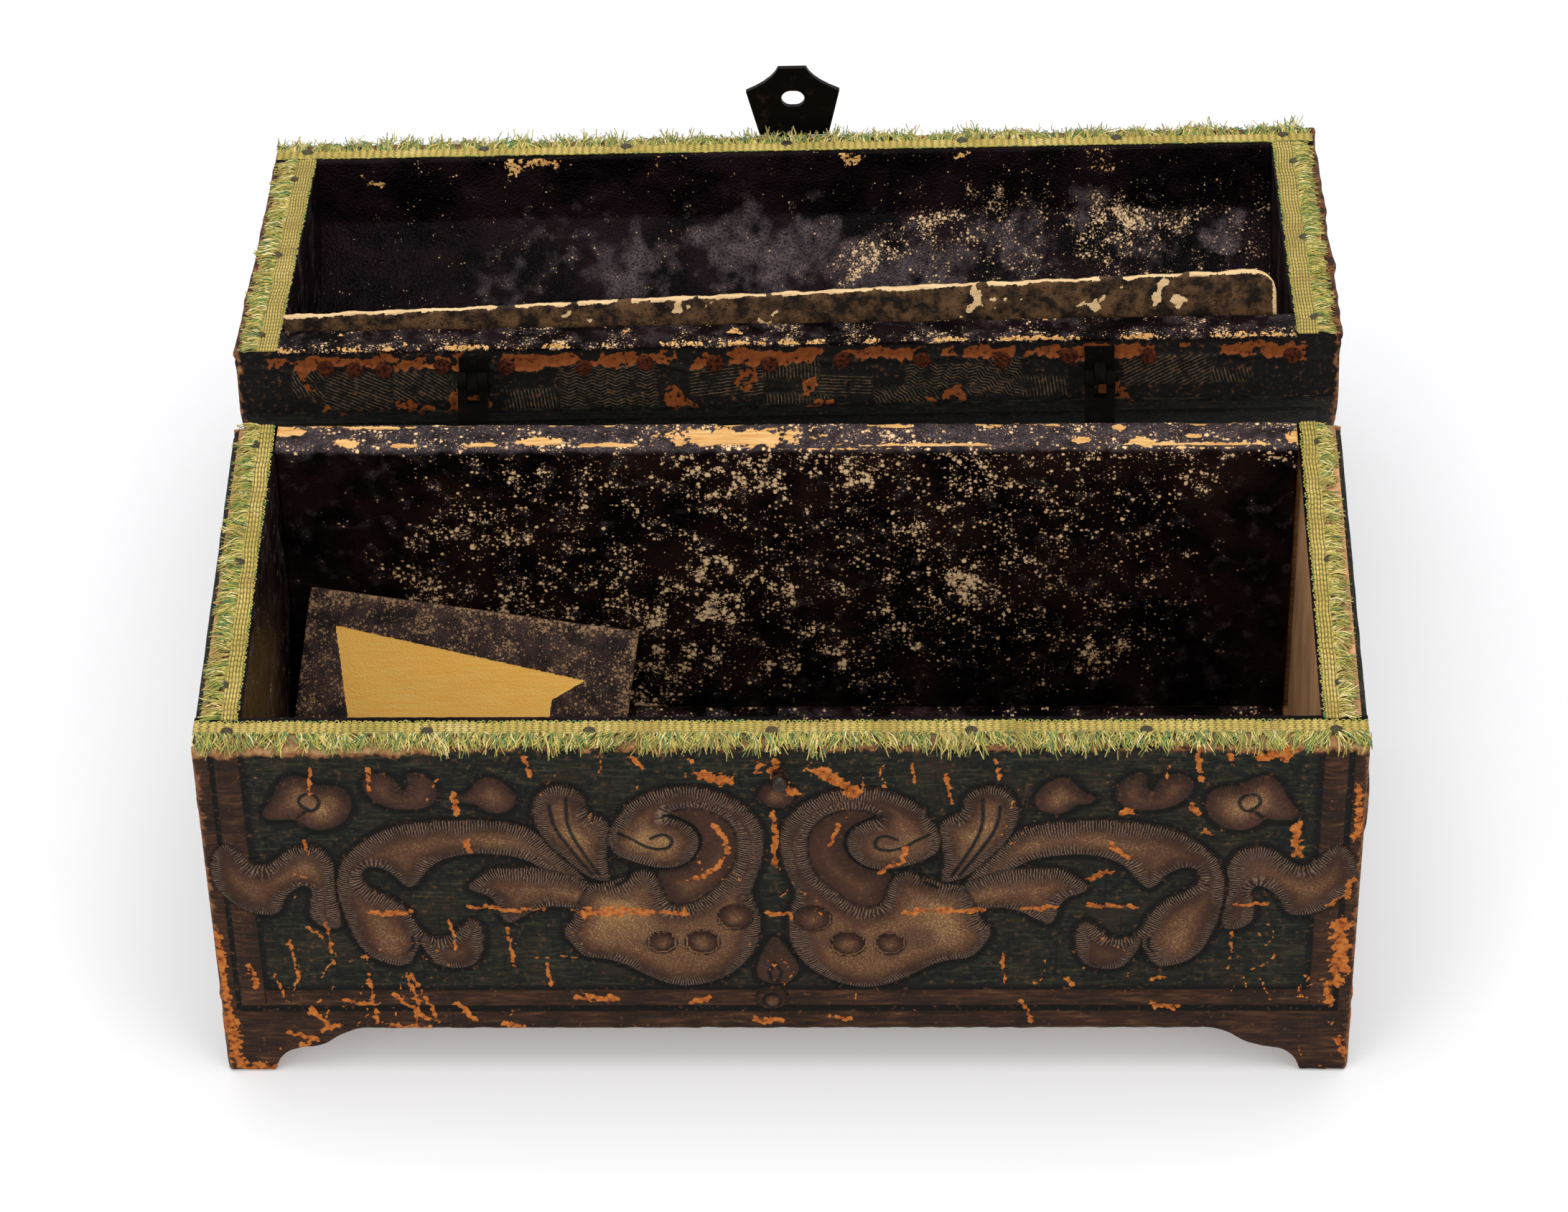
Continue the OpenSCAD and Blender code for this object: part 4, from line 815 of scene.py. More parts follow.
sideDesign = {
    "corner": 0.6, "leaves": ("volute", "fanLobe"), "rimWear": -1.0,
    "glow": frontDesign["glow"], "crazed": [(-30, 88, 12, 6), (20, 30, 16, 8), (44, 60, 8, 6),
                                            (-44, 20, 8, 5)],
    "bars": [(box(-52, -1, 52, 18.3), 0.2, 0.25), (box(-52, 18.6, -49, 97), 0.15, 0.1),
             (box(49, 18.6, 52, 97), 0.15, 0.1), (box(-52, 20.2, 52, 24.6), 0.25, 0.35)],
    "more": frontDesign["more"][:1] + [(circle(-0.5, 22.4, 3), 0.6, 0.0, 1.0)],
    "inks": frontDesign["inks"][:1] + [[-50, 19.4, 50, 19.4]],
    "wear": [(1.0, -44, 90, -30, 93), (0.7, -30, 48, -12, 49.5), (0.5, 10, 50, 30, 49),
             (0.5, -20, 40, -19, 22), (0.6, 38, 60, 36, 30), (1.4, -49.5, 30, -49.6, 6),
             (1.2, 49.4, 50, 49.6, 12), (0.8, 5, 90, 10, 80)],
}
backDesign = dict(frontDesign, leaves=("longStem", "volute", "fanLobe", "forkedLobe", "farLeaf"))

halfWidth, halfDepth = casket["halfWidth"], casket["halfDepth"]
panel("carvedFront", frontDesign, halfWidth, halfDepth, 0, 0.5, "base_front_leather")
print("front leather")
panel("carvedBack", backDesign, halfWidth, halfDepth, 180, 0.8, "base_back_leather")
panel("carvedLeft", sideDesign, 50.4, halfWidth, -90, 0.7, "base_left_leather")
panel("carvedRight", sideDesign, 50.4, halfWidth, 90, 0.7, "base_right_leather")
print("side and back leathers")


def spots(u, v, places, seed=7):  # soft-edged ragged spots: middle, radius and strength
    total = np.zeros(u.shape)
    a, b = softNoise(u, v, 11, seed), softNoise(u, v, 11, seed + 1)
    for cu, cv, radius, strength in places:
        d = np.hypot(u + 4.5 * a - cu, v + 4.5 * b - cv) / radius
        total = np.maximum(total, strength * np.exp(-d ** 2))
    return total


# The lid's leather: front wall, dome and back band in one run of the section

spring = casket["lidRim"] + casket["lidWall"]
domeMid = spring - casket["domeDrop"]


def domeArc(radius, start, end, count=60):  # angles from the back, in degrees
    return [(radius * math.cos(math.radians(start + (end - start) * i / count)),
             domeMid + radius * math.sin(math.radians(start + (end - start) * i / count)))
            for i in range(count + 1)]


domeStart = 180 - math.degrees(math.asin(casket["domeDrop"] / casket["domeRadius"]))
domeEnd = 180 - domeStart
rim = casket["lidRim"]
overDome = [(-halfDepth, rim)] + domeArc(casket["domeRadius"], domeStart, domeEnd)
domeLength = pathLength(overDome)
downBack = domeArc(casket["domeRadius"], domeEnd + 2, domeEnd, 6) + [(halfDepth, rim)]

domeDesign = {
    "glow": [(-44, 70, 20, 0.5), (44, 70, 20, 0.5), (0, 40, 20, 0.3)],
    "crazed": [(-60, 60, 30, 14), (50, 90, 30, 14), (0, 110, 30, 8)],
    "dz": 20.0, "scale": 0.95, "bars": [(box(-121, -1, 121, 15.2), 0.2, 0.2)],
    "leaves": ("longStem", "tailLeaf", "forkedLobe", "fanLobe", "volute", "farLeaf"),
    "more": [(circle(-2, 80, 4.5), 0.6, 0.0, 1.0)],
    "inks": [[-116, 20, 116, 20, 116, 134, -116, 134, -116, 20], [-118, 15.8, 118, 15.8]],
    "wear": [(1.0, -90, 40, -60, 42), (0.8, 20, 60, 60, 62), (0.7, -100, 100, -97, 60),
             (0.6, 70, 130, 72, 90), (1.4, -119, 60, -118, 20), (1.6, 119, 120, 118, 60),
             (0.7, -20, 30, 20, 31), (0.9, 0, 110, 4, 96)],
}


def layDome(u, v):
    carved, height = carve(u, v, domeDesign)
    toSide = halfWidth - np.abs(u)
    tan = smooth(2.2 + 0.9 * softNoise(u, v, 7, 31) - v, -0.5, 0.9)
    tan = np.maximum(tan, 0.8 * smooth(1.2 + softNoise(u, v, 9, 32) - toSide, -0.4, 0.6))
    for space in (v, toSide):
        height -= roundOff(space, 0.9)
    none = np.zeros(u.shape)
    return *onPath(overDome, u, v), height, dict(carved, marks=(none, tan, none))


combs = [  # middle u and height, width, tall, slant in degrees, waviness
    (-94, 10, 15, 9, 25, 0.1), (-80, 9, 12, 7, 35, 0.1), (-71, 10, 5, 6, 80, 1.0),
    (-56, 12.6, 11, 5, 82, 0.1), (-39, 9.5, 21, 11, 0, 1.0), (-13, 9, 16, 7, -8, 0.1),
    (1, 6.4, 12, 4.5, 88, 0.1), (2, 13.6, 14, 2.6, 88, 0.1), (12, 10.5, 13, 5, 3, 0.1),
    (34, 8.6, 16, 6, 14, 1.0), (26, 13, 14, 4, 50, 0.6), (45, 9, 12, 9, 35, 1.0),
    (56, 11.6, 10, 5, 82, 0.1), (83, 8, 20, 7, -28, 0.1), (90, 9.6, 22, 3.5, 75, 0.1),
    (-104, 8, 8, 6, 60, 0.3),
]


def layBand(u, v):  # combed and torn leather over the hinge side of the lid
    up = pathLength(downBack) - v                 # height above the rim
    phase, fade = np.zeros(u.shape), np.zeros(u.shape)
    for cu, cv, wide, tall, slant, waves in combs:
        a = math.radians(slant)
        du, dv = u - cu, up - cv
        near = smooth(1.15 - (du / wide * 2) ** 2, 0, 0.3) * smooth(1.15 - (dv / tall * 2) ** 2, 0, 0.3)
        across = -du * math.sin(a) + dv * math.cos(a)
        along = du * math.cos(a) + dv * math.sin(a)
        across = across + waves * 0.8 * np.abs((along / 1.7) % 2 - 1)
        phase = np.where(near > fade, across / 0.78, phase)    # the comb's teeth are 0.78 mm apart
        fade = np.maximum(fade, near)
    comb = 0.75 * fade * smooth(softNoise(u, up, 7, 41), -0.9, -0.1)
    tear = 5.0 + 1.2 * lineNoise(u, 26, 42) + 0.7 * lineNoise(u, 7, 43)
    low = 1.7 + 0.9 * lineNoise(u, 9, 44)
    torn = smooth(tear - up, -0.3, 0.5) * smooth(up - low, -0.3, 0.4)
    torn = torn * smooth(softNoise(u, up * 0.4, 11, 45) + 0.1, -0.4, 0.0) * smooth(114 - np.abs(u), 0, 2)
    islands = [(-97, 15, 2.8, 0.7), (-82, 14.6, 2.4, 0.75), (-71, 14, 3.4, 0.8), (-24, 14.8, 3.4, 0.7),
               (-8, 7, 1.8, 0.8), (-8.4, 10, 1.6, 0.7), (36, 13.4, 3.4, 0.75), (72, 13.6, 4.2, 0.8),
               (6, 13.6, 2.4, 0.7), (-104, 9, 1.6, 0.6)]
    wear = np.maximum(0.7 * torn, 0.6 * smooth(spots(u, up, islands), 0.26, 0.4))
    black = 0.93 - 0.3 * smooth(spots(u, up, [(-72, 8, 6, 1.0), (4, 10, 5, 0.8)]), 0.3, 0.6)
    rimmed = np.exp(-((up - tear) / 0.5) ** 2)
    height = 0.1 * comb - 0.3 * smooth(tear - up, 0, 0.8) + 0.2 * rimmed + 0.1 * softNoise(u, up, 6, 47)
    toSide = halfWidth - np.abs(u)
    height -= roundOff(toSide, 0.9)
    tan = 0.6 * smooth(1.2 + 0.8 * softNoise(u, up, 5, 48) - toSide, -0.2, 0.8)
    none = np.zeros(u.shape)
    return *onPath(downBack, u, v), height, {
        "carve": (none - 4, phase, none + 9), "finish": (none, none, wear),
        "marks": (comb * (wear < 0.3), tan, black)}


def layLidEnd(side):
    design = {"leaves": ("volute", "fanLobe"), "scale": 0.5, "dz": 59.0,
              "bars": [(box(-52, 95, 52, 98.6), 0.2, 0.2)], "inks": [[-48, 101, 48, 101]],
              "wear": [(0.9, -40, 112, -30, 104), (0.7, 10, 130, 14, 120), (1.0, 44, 110, 49, 100)]}

    def lay(u, v):
        roof = domeMid + np.sqrt(np.maximum(casket["domeRadius"] ** 2 - u ** 2, 0)) - 0.05
        z = rim + 0.05 + v * (roof - rim - 0.05)
        carved, height = carve(u, z, design)
        toEdge = np.minimum(np.minimum(roof - z, z - rim), halfDepth - np.abs(u))
        height -= roundOff(toEdge, 0.8)
        height = height + (1.1 if side > 0 else 0.5) * smooth(6 - (z - rim), 0, 6) * (
            0.5 + 0.5 * softNoise(u, z * 0.3, 30, 51 + side))
        tan = 0.5 * smooth(0.7 + 0.9 * softNoise(u, z, 8, 52) - toEdge, -0.4, 0.8)
        none = np.zeros(u.shape)
        return *onFace(halfWidth, 90 * side, u, z), height, dict(carved, marks=(none, tan, none))
    return lay


for name, bm, lay, node, curved in (
        ("carvedDome", layGrid(halfWidth, domeLength, 0.8), layDome, "lid_dome_leather", True),
        ("tornBackBand", layGrid(halfWidth, pathLength(downBack), 0.36), layBand, "lid_dome_leather", True),
        ("carvedLidLeft", layGrid(50.6, 1.0, 0.72, 60), layLidEnd(-1), "lid_left_leather", False),
        ("carvedLidRight", layGrid(50.6, 1.0, 0.72, 60), layLidEnd(1), "lid_right_leather", False)):
    addSheet(name, bm, lay, casket["leather"], lidPlace, "lid", "carved", node, curved)
print("lid leathers")

# Linings

inDepth, lining = casket["inHalfDepth"], casket["lining"]
baseTop = casket["baseHeight"]
quarter = [(math.cos(a / 6 * math.pi / 2), math.sin(a / 6 * math.pi / 2)) for a in range(7)]
backPath = ([(inDepth - lining, casket["holdFloor"]), (inDepth - lining, baseTop - 0.2)]
            + [(inDepth - lining + 1.0 - c, baseTop - 0.2 + s) for c, s in quarter[1:]]
            + [(49.9 + 1.1 * s, baseTop - 0.3 + 1.1 * c) for c, s in quarter])
wallRun = baseTop - 0.2 - casket["holdFloor"]
flakedBack = [  # u, v above the floor, radius, strength
    (-78, 50.7, 5, 0.9), (-65, 50.5, 6, 1.1), (-71, 57, 6, 0.8), (-51.6, 55.7, 4, 0.7),
    (-43.7, 61.4, 2.5, 1.1), (-53, 69, 2.5, 1.2), (-85, 40, 6, 0.8), (-78, 36.5, 5, 0.95),
    (-82, 30, 4.5, 1.1), (-63, 31, 3.5, 1.5), (-58, 37, 6, 0.85), (-50, 31, 7, 0.9),
    (-40, 39, 7, 0.85), (-17.8, 41, 4, 1.4), (-9, 40, 4.5, 1.4), (-0.5, 34, 4, 1.2),
    (-15.6, 30.3, 4.5, 1.4), (-10, 28.4, 4, 1.2), (-31, 26.5, 6, 1.1), (-36.5, 22.6, 6, 1.0),
    (-27, 32, 6, 0.9), (-22, 18, 6, 1.0), (-17, 12, 6, 0.95), (-26, 9, 6, 1.1), (-33, 12, 5, 1.2),
    (-33, 1, 4, 1.2), (-20.6, 70, 7, 0.95), (-12, 64, 5, 1.2), (-6, 69, 6, 1.0), (-30, 62, 8, 0.6),
    (-2, 13, 8, 0.9), (11, 17, 5, 1.2), (17, 70, 9, 0.95), (42, 70, 10, 0.9), (39, 36, 9, 1.2),
    (26, 24, 6, 0.9), (68, 17, 8, 1.1), (28, 50, 9, 0.8), (73, 50, 7, 0.8), (50, 25, 10, 0.7),
    (60, 62, 10, 0.7), (85, 45, 7, 0.6), (20, 8, 8, 0.7), (-102, 55, 3, 0.7), (52, 45, 6, 0.8),
    (14, 58, 8, 0.7), (90, 68, 8, 0.7), (56, 8, 6, 0.6),
]
barePatches = [  # on the base's rim: u, y, half length, half depth
    (-11, 46.6, 17, 3.0), (-95, 44.9, 3.4, 1.6), (-83, 44.0, 4.5, 0.7), (-66, 44.2, 4, 0.8),
    (-53, 45.0, 5.5, 1.4), (-38, 44.1, 8, 0.6), (-108, 48.6, 4, 1.6), (-88, 50.2, 8, 0.6),
    (64, 45.4, 1.8, 1.0), (72, 49.4, 1.6, 1.0), (77, 45.0, 3.5, 1.4), (111, 46.2, 3.0, 3.0),
    (30, 43.9, 20, 0.45), (90, 43.9, 18, 0.5), (24, 50, 4, 0.6), (57, 50.2, 4, 0.5),
    (88, 46.6, 2.0, 0.9),
]


def layBack(u, v):
    onRim = smooth(v, wallRun - 0.5, wallRun + 1.5)
    across = inDepth - lining + np.clip(v - wallRun, 0, None)
    flaked = spots(u, v, flakedBack) * (1 - onRim) * smooth(108 - np.abs(u), 0, 12)
    spread = (0.4 + 0.2 * softNoise(u, v, 13, 68)) * (1 - onRim) * smooth(v, -6, 24)
    flaked = np.maximum(0.84 * flaked, spread * smooth(u, -104, -60) * smooth(104 - u, 0, 30))
    flaked = np.maximum(flaked, (0.6 + 0.3 * softNoise(u, v, 20, 60)) * smooth(v, wallRun - 6, wallRun)
                        * (1 - onRim) * smooth(u, -75, -10))
    flaked = np.maximum(flaked, onRim * (0.45 + 0.35 * softNoise(u, across, 16, 61)))
    scuffed = np.zeros(u.shape)
    for cu, cy, wide, deep in barePatches:
        d = np.hypot((u - cu) / wide, (across - cy) / deep) + 0.35 * softNoise(u, across, 6, 62)
        scuffed = np.maximum(scuffed, np.clip(1.4 - d, 0, 1) * (across > 43))
    scuffed = np.maximum(scuffed, 0.6 * smooth(across - 49.8 + 0.9 * lineNoise(u, 9, 63), 0, 1)
                         * smooth(lineNoise(u, 23, 64), -0.3, 0.3))
    scuffed = np.maximum(scuffed, 0.5 * np.exp(-((across - 42.6) / 0.5) ** 2) * smooth(u, -60, 0)
                         * smooth(lineNoise(u, 19, 67), -0.4, 0.3))
    height = 0.12 * softNoise(u, v, 11, 65) - 0.22 * (scuffed > 0.5)
    height += 0.3 * np.exp(-((v - wallRun) / 1.2) ** 2) * lineNoise(u, 30, 66)
    dusty = 0.25 + 0.4 * onRim
    return *onPath(backPath, u, v), height, {"lost": (flaked, dusty + u * 0, scuffed)}


addSheet("backLining", layGrid(110.4, pathLength(backPath), 0.6), layBack, 0.7, basePlace, "base",
         "baseLining", "base_back_lining", True)


def laySheet(at, halfWidth, length, seed, flaked):  # a lining that shows little but its grain
    def lay(u, v):
        inner = np.minimum(halfWidth - np.abs(u), np.minimum(v, length - v))
        height = 0.14 * softNoise(u, v, 18, seed) * smooth(inner, 0, 4)
        crumbs = flaked * (0.6 + 0.5 * softNoise(u, v, 14, seed + 1))
        dusty = 0.3 + 0.25 * softNoise(u, v, 26, seed + 2)
        return *at(u, v), height, {"lost": (crumbs, dusty, 0 * u)}
    return lay


def underDome(out, turn, shift):                  # v from 0 at the lid's rim to 1 at its dome
    radius = casket["domeInRadius"] - lining - 0.1

    def at(u, v):
        y = u + shift
        return onFace(out, turn, y, rim + 0.1 + v * (domeMid - rim - 0.1 + np.sqrt(radius ** 2 - y ** 2)))
    return at


wallTop, wallLow = baseTop - 0.05, casket["holdFloor"]
frontFace, leftFace, tall = 1.0 - inDepth, lining - casket["inHalfWidth"], wallTop - wallLow
frontPath = [(frontFace, wallTop), (frontFace, wallLow)]
floorPath = [(1.2 - inDepth, wallLow), (inDepth - 1.2, wallLow)]
for name, half, length, cell, flaked, at, node in (
        ("frontLining", 111.3, tall, 1.2, 0.3, partial(onPath, frontPath), "base_front_lining"),
        ("floorLining", 110.2, 2 * inDepth - 2.4, 1.2, 0.5, partial(onPath, floorPath),
         "base_floor_lining"),
        ("leftLining", inDepth - 1.1, tall, 1.0, 0.12,
         lambda u, v: onFace(leftFace, 90, u, v + wallLow), "base_left_lining")):
    lay = laySheet(at, half, length, 300 + round(half), flaked)
    addSheet(name, layGrid(half, length, cell), lay, 0.8, basePlace, "base", "baseLining", node)

inRadius = casket["domeInRadius"] - lining
inSpring = math.degrees(math.asin((spring + 0.3 - domeMid) / inRadius))
liningPath = domeArc(inRadius, inSpring, 180 - inSpring) + [(-inDepth + lining, rim - 0.1)]
liningRun = pathLength(liningPath)
blooms = [(-14, 22.5, 10, 0.9), (5, 21, 8, 0.8), (14, 27.4, 9, 0.8), (-39, 29, 11, 0.8),
          (-68, 32, 9, 0.5), (99, 22.5, 5, 1.0), (67, 15, 6, 0.75), (50, 20, 6, 0.75),
          (34, 29, 10, 0.7), (-3, 27, 10, 0.9), (80, 22, 12, 0.5), (52, 24, 12, 0.6),
          (-57, 20, 18, 0.3), (20, 31, 14, 0.8)]
flakedLid = [(17, 26, 5, 1.0), (13, 29, 5, 0.9), (22, 23, 5, 0.85), (31, 18, 7, 0.8), (47, 12.5, 6, 0.8),
             (75, 17, 6, 1.05), (79, 20, 5, 0.9), (87, 20, 7, 0.7), (52, 27, 12, 0.55), (70, 24, 9, 0.7),
             (60, 16, 10, 0.5), (95, 16, 7, 0.45)]
peeled = [(-65, 0.6, 4, 1), (-58, 1.0, 3, 1), (12, 0.4, 3, 0.9), (-97, 4.5, 1.6, 0.9),
          (90, 2.5, 1.6, 0.7), (40, 0.2, 3, 0.8), (-30, 0.2, 3, 0.6), (70, 0.3, 4, 0.6)]


def layLidLining(u, v):
    up = liningRun - v                            # from the front rim up the wall
    flaked = np.maximum(spots(u, up, flakedLid), 0.1 + 0.07 * softNoise(u, up, 30, 71)
                        + 0.26 * smooth(u, -10, 50) * smooth(up, 6, 16))
    dusty = spots(u, up, blooms)
    scuffed = 0.75 * spots(u, up + 0.3 * softNoise(u, up, 3, 72), peeled)
    height = 0.35 * softNoise(u, up, 24, 73) + 0.14 * softNoise(u, up, 7, 74)
    height += 0.2 * np.exp(-((up - 24 - 2 * lineNoise(u, 60, 75)) / 2.2) ** 2)
    height *= smooth(np.minimum(110.2 - np.abs(u), np.minimum(up, v)), 0, 5)
    return *onPath(liningPath, u, v), height, {"lost": (flaked, dusty, scuffed)}


addSheet("lidLining", layGrid(111.3, liningRun, 0.7), layLidLining, 0.7, lidPlace, "lid",
         "lining", "lid_lining", True)
for name, out, turn, shift, node in (
        ("lidLeftLining", leftFace, 90, -0.8, "lid_left_lining"),
        ("lidRightLining", 0.3 + leftFace, -90, 0.8, "lid_right_lining")):
    lay = laySheet(underDome(out, turn, shift), 40.5, 1.0, 330, 0.15)
    addSheet(name, layGrid(40.5, 1.0, 1.0, 32), lay, 0.8, lidPlace, "lid", "lining", node)

# over the hinge side's rim, from its outer face to the inside of the wall
rimPath = ([(halfDepth + 0.05, rim + 0.7)]
           + [(halfDepth - 1.0 + 1.05 * c, rim + 0.3 - 1.05 * s) for c, s in quarter]
           + [(inDepth + 0.6, rim - 0.75), (inDepth + 0.05, rim - 0.3), (inDepth + 0.05, rim + 1.0)])


def layLidRim(u, v):
    flaked = 0.3 + 0.3 * softNoise(u, v, 14, 81) + 0.2 * smooth(4.2 - v, 0, 2)
    lip = smooth(v, 0.1, 0.5) * smooth(2.3 - v, 0, 1.2)   # the outer edge is rubbed most
    scuffed = 0.56 * lip * smooth(softNoise(u, v, 12, 82), -0.6, 0.3)
    scuffed = np.maximum(scuffed, 0.6 * smooth(softNoise(u, v, 9, 83), 0.8, 1.0))
    height = 0.15 * softNoise(u, v, 12, 84) - 0.15 * (scuffed > 0.5)
    return *onPath(rimPath, u, v), height, {"lost": (flaked, 0.35 + u * 0, scuffed)}


addSheet("lidRimLining", layGrid(110.6, pathLength(rimPath), 0.5), layLidRim, 0.5, lidPlace, "lid",
         "lining", "lid_rim_lining", True)
print("linings")

# Loose pieces of lining board

looseBoard = {"long": 73, "wide": 36, "thick": 1.6, "lean": 35, "turn": 8,
              "corner": (-110.2, 39.889, 59.042)}
flap = {"right": 106.5, "long": 216.7, "tall": 15, "thick": 1.0, "rise": 10.5, "turn": 1.9,
        "y": 40.2, "round": 5}
barePaper = pairs([6.4, 28.5, 62.8, 23.8, 56, 18.4, 56, 13.3, 53.5, 4.5, 14, 3.2, 11.7, 8.1])


def layLoose(u, v):
    a = u + looseBoard["long"] / 2
    d, _, inside = nearLine(a, v, barePaper, True)
    toEdge = np.minimum(np.minimum(a, looseBoard["long"] - a), np.minimum(v, looseBoard["wide"] - v))
    flaked = 0.6 + 0.35 * np.exp(-toEdge / 1.5) + 0.14 * softNoise(a, v, 9, 91)
    height = 0.08 * softNoise(a, v, 20, 92) - 0.12 * smooth(np.where(inside, d, -d), -0.2, 0.3)
    height -= 0.35 * np.exp(-toEdge / 0.4)
    flat = np.zeros(u.shape)
    return (np.stack([a, flat, v], 1), np.tile([0.0, -1.0, 0.0], (len(u), 1)), height,
            {"lost": (flaked, flat + 0.35, np.where(inside, 1.0, 0.0) * smooth(d, -0.1, 0.3))})


looseTurn = (Matrix.Rotation(math.radians(-looseBoard["lean"]), 4, "X")
             @ Matrix.Rotation(math.radians(looseBoard["turn"]), 4, "Y"))
loosePlace = (basePlace @ Matrix.Translation(looseBoard["corner"]) @ looseTurn
              @ Matrix.Translation((looseBoard["wide"] * math.sin(math.radians(looseBoard["turn"])), 0,
                                    -looseBoard["wide"])))
addSheet("looseBoard", layGrid(looseBoard["long"] / 2, looseBoard["wide"], 0.3), layLoose,
         looseBoard["thick"], loosePlace, "base", "pasteboard", "loose_lining_board")


def layFlap(u, v):                                # v runs from the dome end to the free edge
    a = u - flap["long"] / 2                      # 0 at the right end
    free = flap["tall"] - v
    lift = roundOff(-a, flap["round"])
    ragged = 0.25 * lineNoise(a, 12, 101) + 0.12 * lineNoise(a, 2.5, 102)
    free = lift + free * (flap["tall"] - lift) / flap["tall"] + ragged * smooth(3 - free, 0, 3)
    toFree = free - lift
    toEnd = np.where(a > -6, -a - 0.5, 9.0)
    scuffed = smooth(0.46 + 0.3 * lineNoise(a, 6, 103) - np.minimum(toFree, toEnd), -0.1, 0.2)
    scuffed *= smooth(lineNoise(a, 9, 107), -0.75, -0.55)
    torn = [(-66, 3.3, 2.4, 0.9), (-63, 5.5, 1.4, 0.8), (-40, 7.5, 1.6, 0.8), (-37.5, 6.5, 2.8, 0.95),
            (-35, 3, 1.5, 0.8), (-23.4, 5.4, 2.2, 1.0), (-110, 4, 1.6, 0.8), (-130, 1.5, 2, 0.9),
            (-125, 2.5, 1.3, 0.8), (-152, 4, 1.4, 0.8), (-59, 5, 1, 0.7), (-70, 6, 1, 0.7)]
    scuffed = np.maximum(scuffed, 0.8 * smooth(spots(a, toFree, torn), 0.2, 0.6))
    flaked = 0.5 + 0.4 * softNoise(a, free, 12, 105)
    height = 0.1 * softNoise(a, free, 16, 106) - 0.25 * smooth(0.8 - toFree, 0, 0.8)
    flat = np.zeros(u.shape)
    return (np.stack([a, flat, free], 1), np.tile([0.0, 1.0, 0.0], (len(u), 1)), height,
            {"lost": (flaked, 0.1 + flat, scuffed)})


flapPlace = (lidPlace @ Matrix.Translation((flap["right"], flap["y"] + flap["thick"], rim - flap["rise"]))
             @ Matrix.Rotation(math.radians(flap["turn"]), 4, "Y"))
addSheet("looseFlap", layGrid(flap["long"] / 2, flap["tall"], 0.45), layFlap, flap["thick"],
         flapPlace, "lid", "flap", "lid_loose_lining")
print("loose boards")

# Fringed braid: a woven tape on the inner part of each rim, cut threads out to the edge, and the
# lining turned over the rim under them

tape = {"base": 0.3, "bump": 0.34, "stitch": 1.62, "end": 0.62}
fringe = {"radius": 0.14, "perMm": 10.0, "points": 7, "tuft": 1.45}


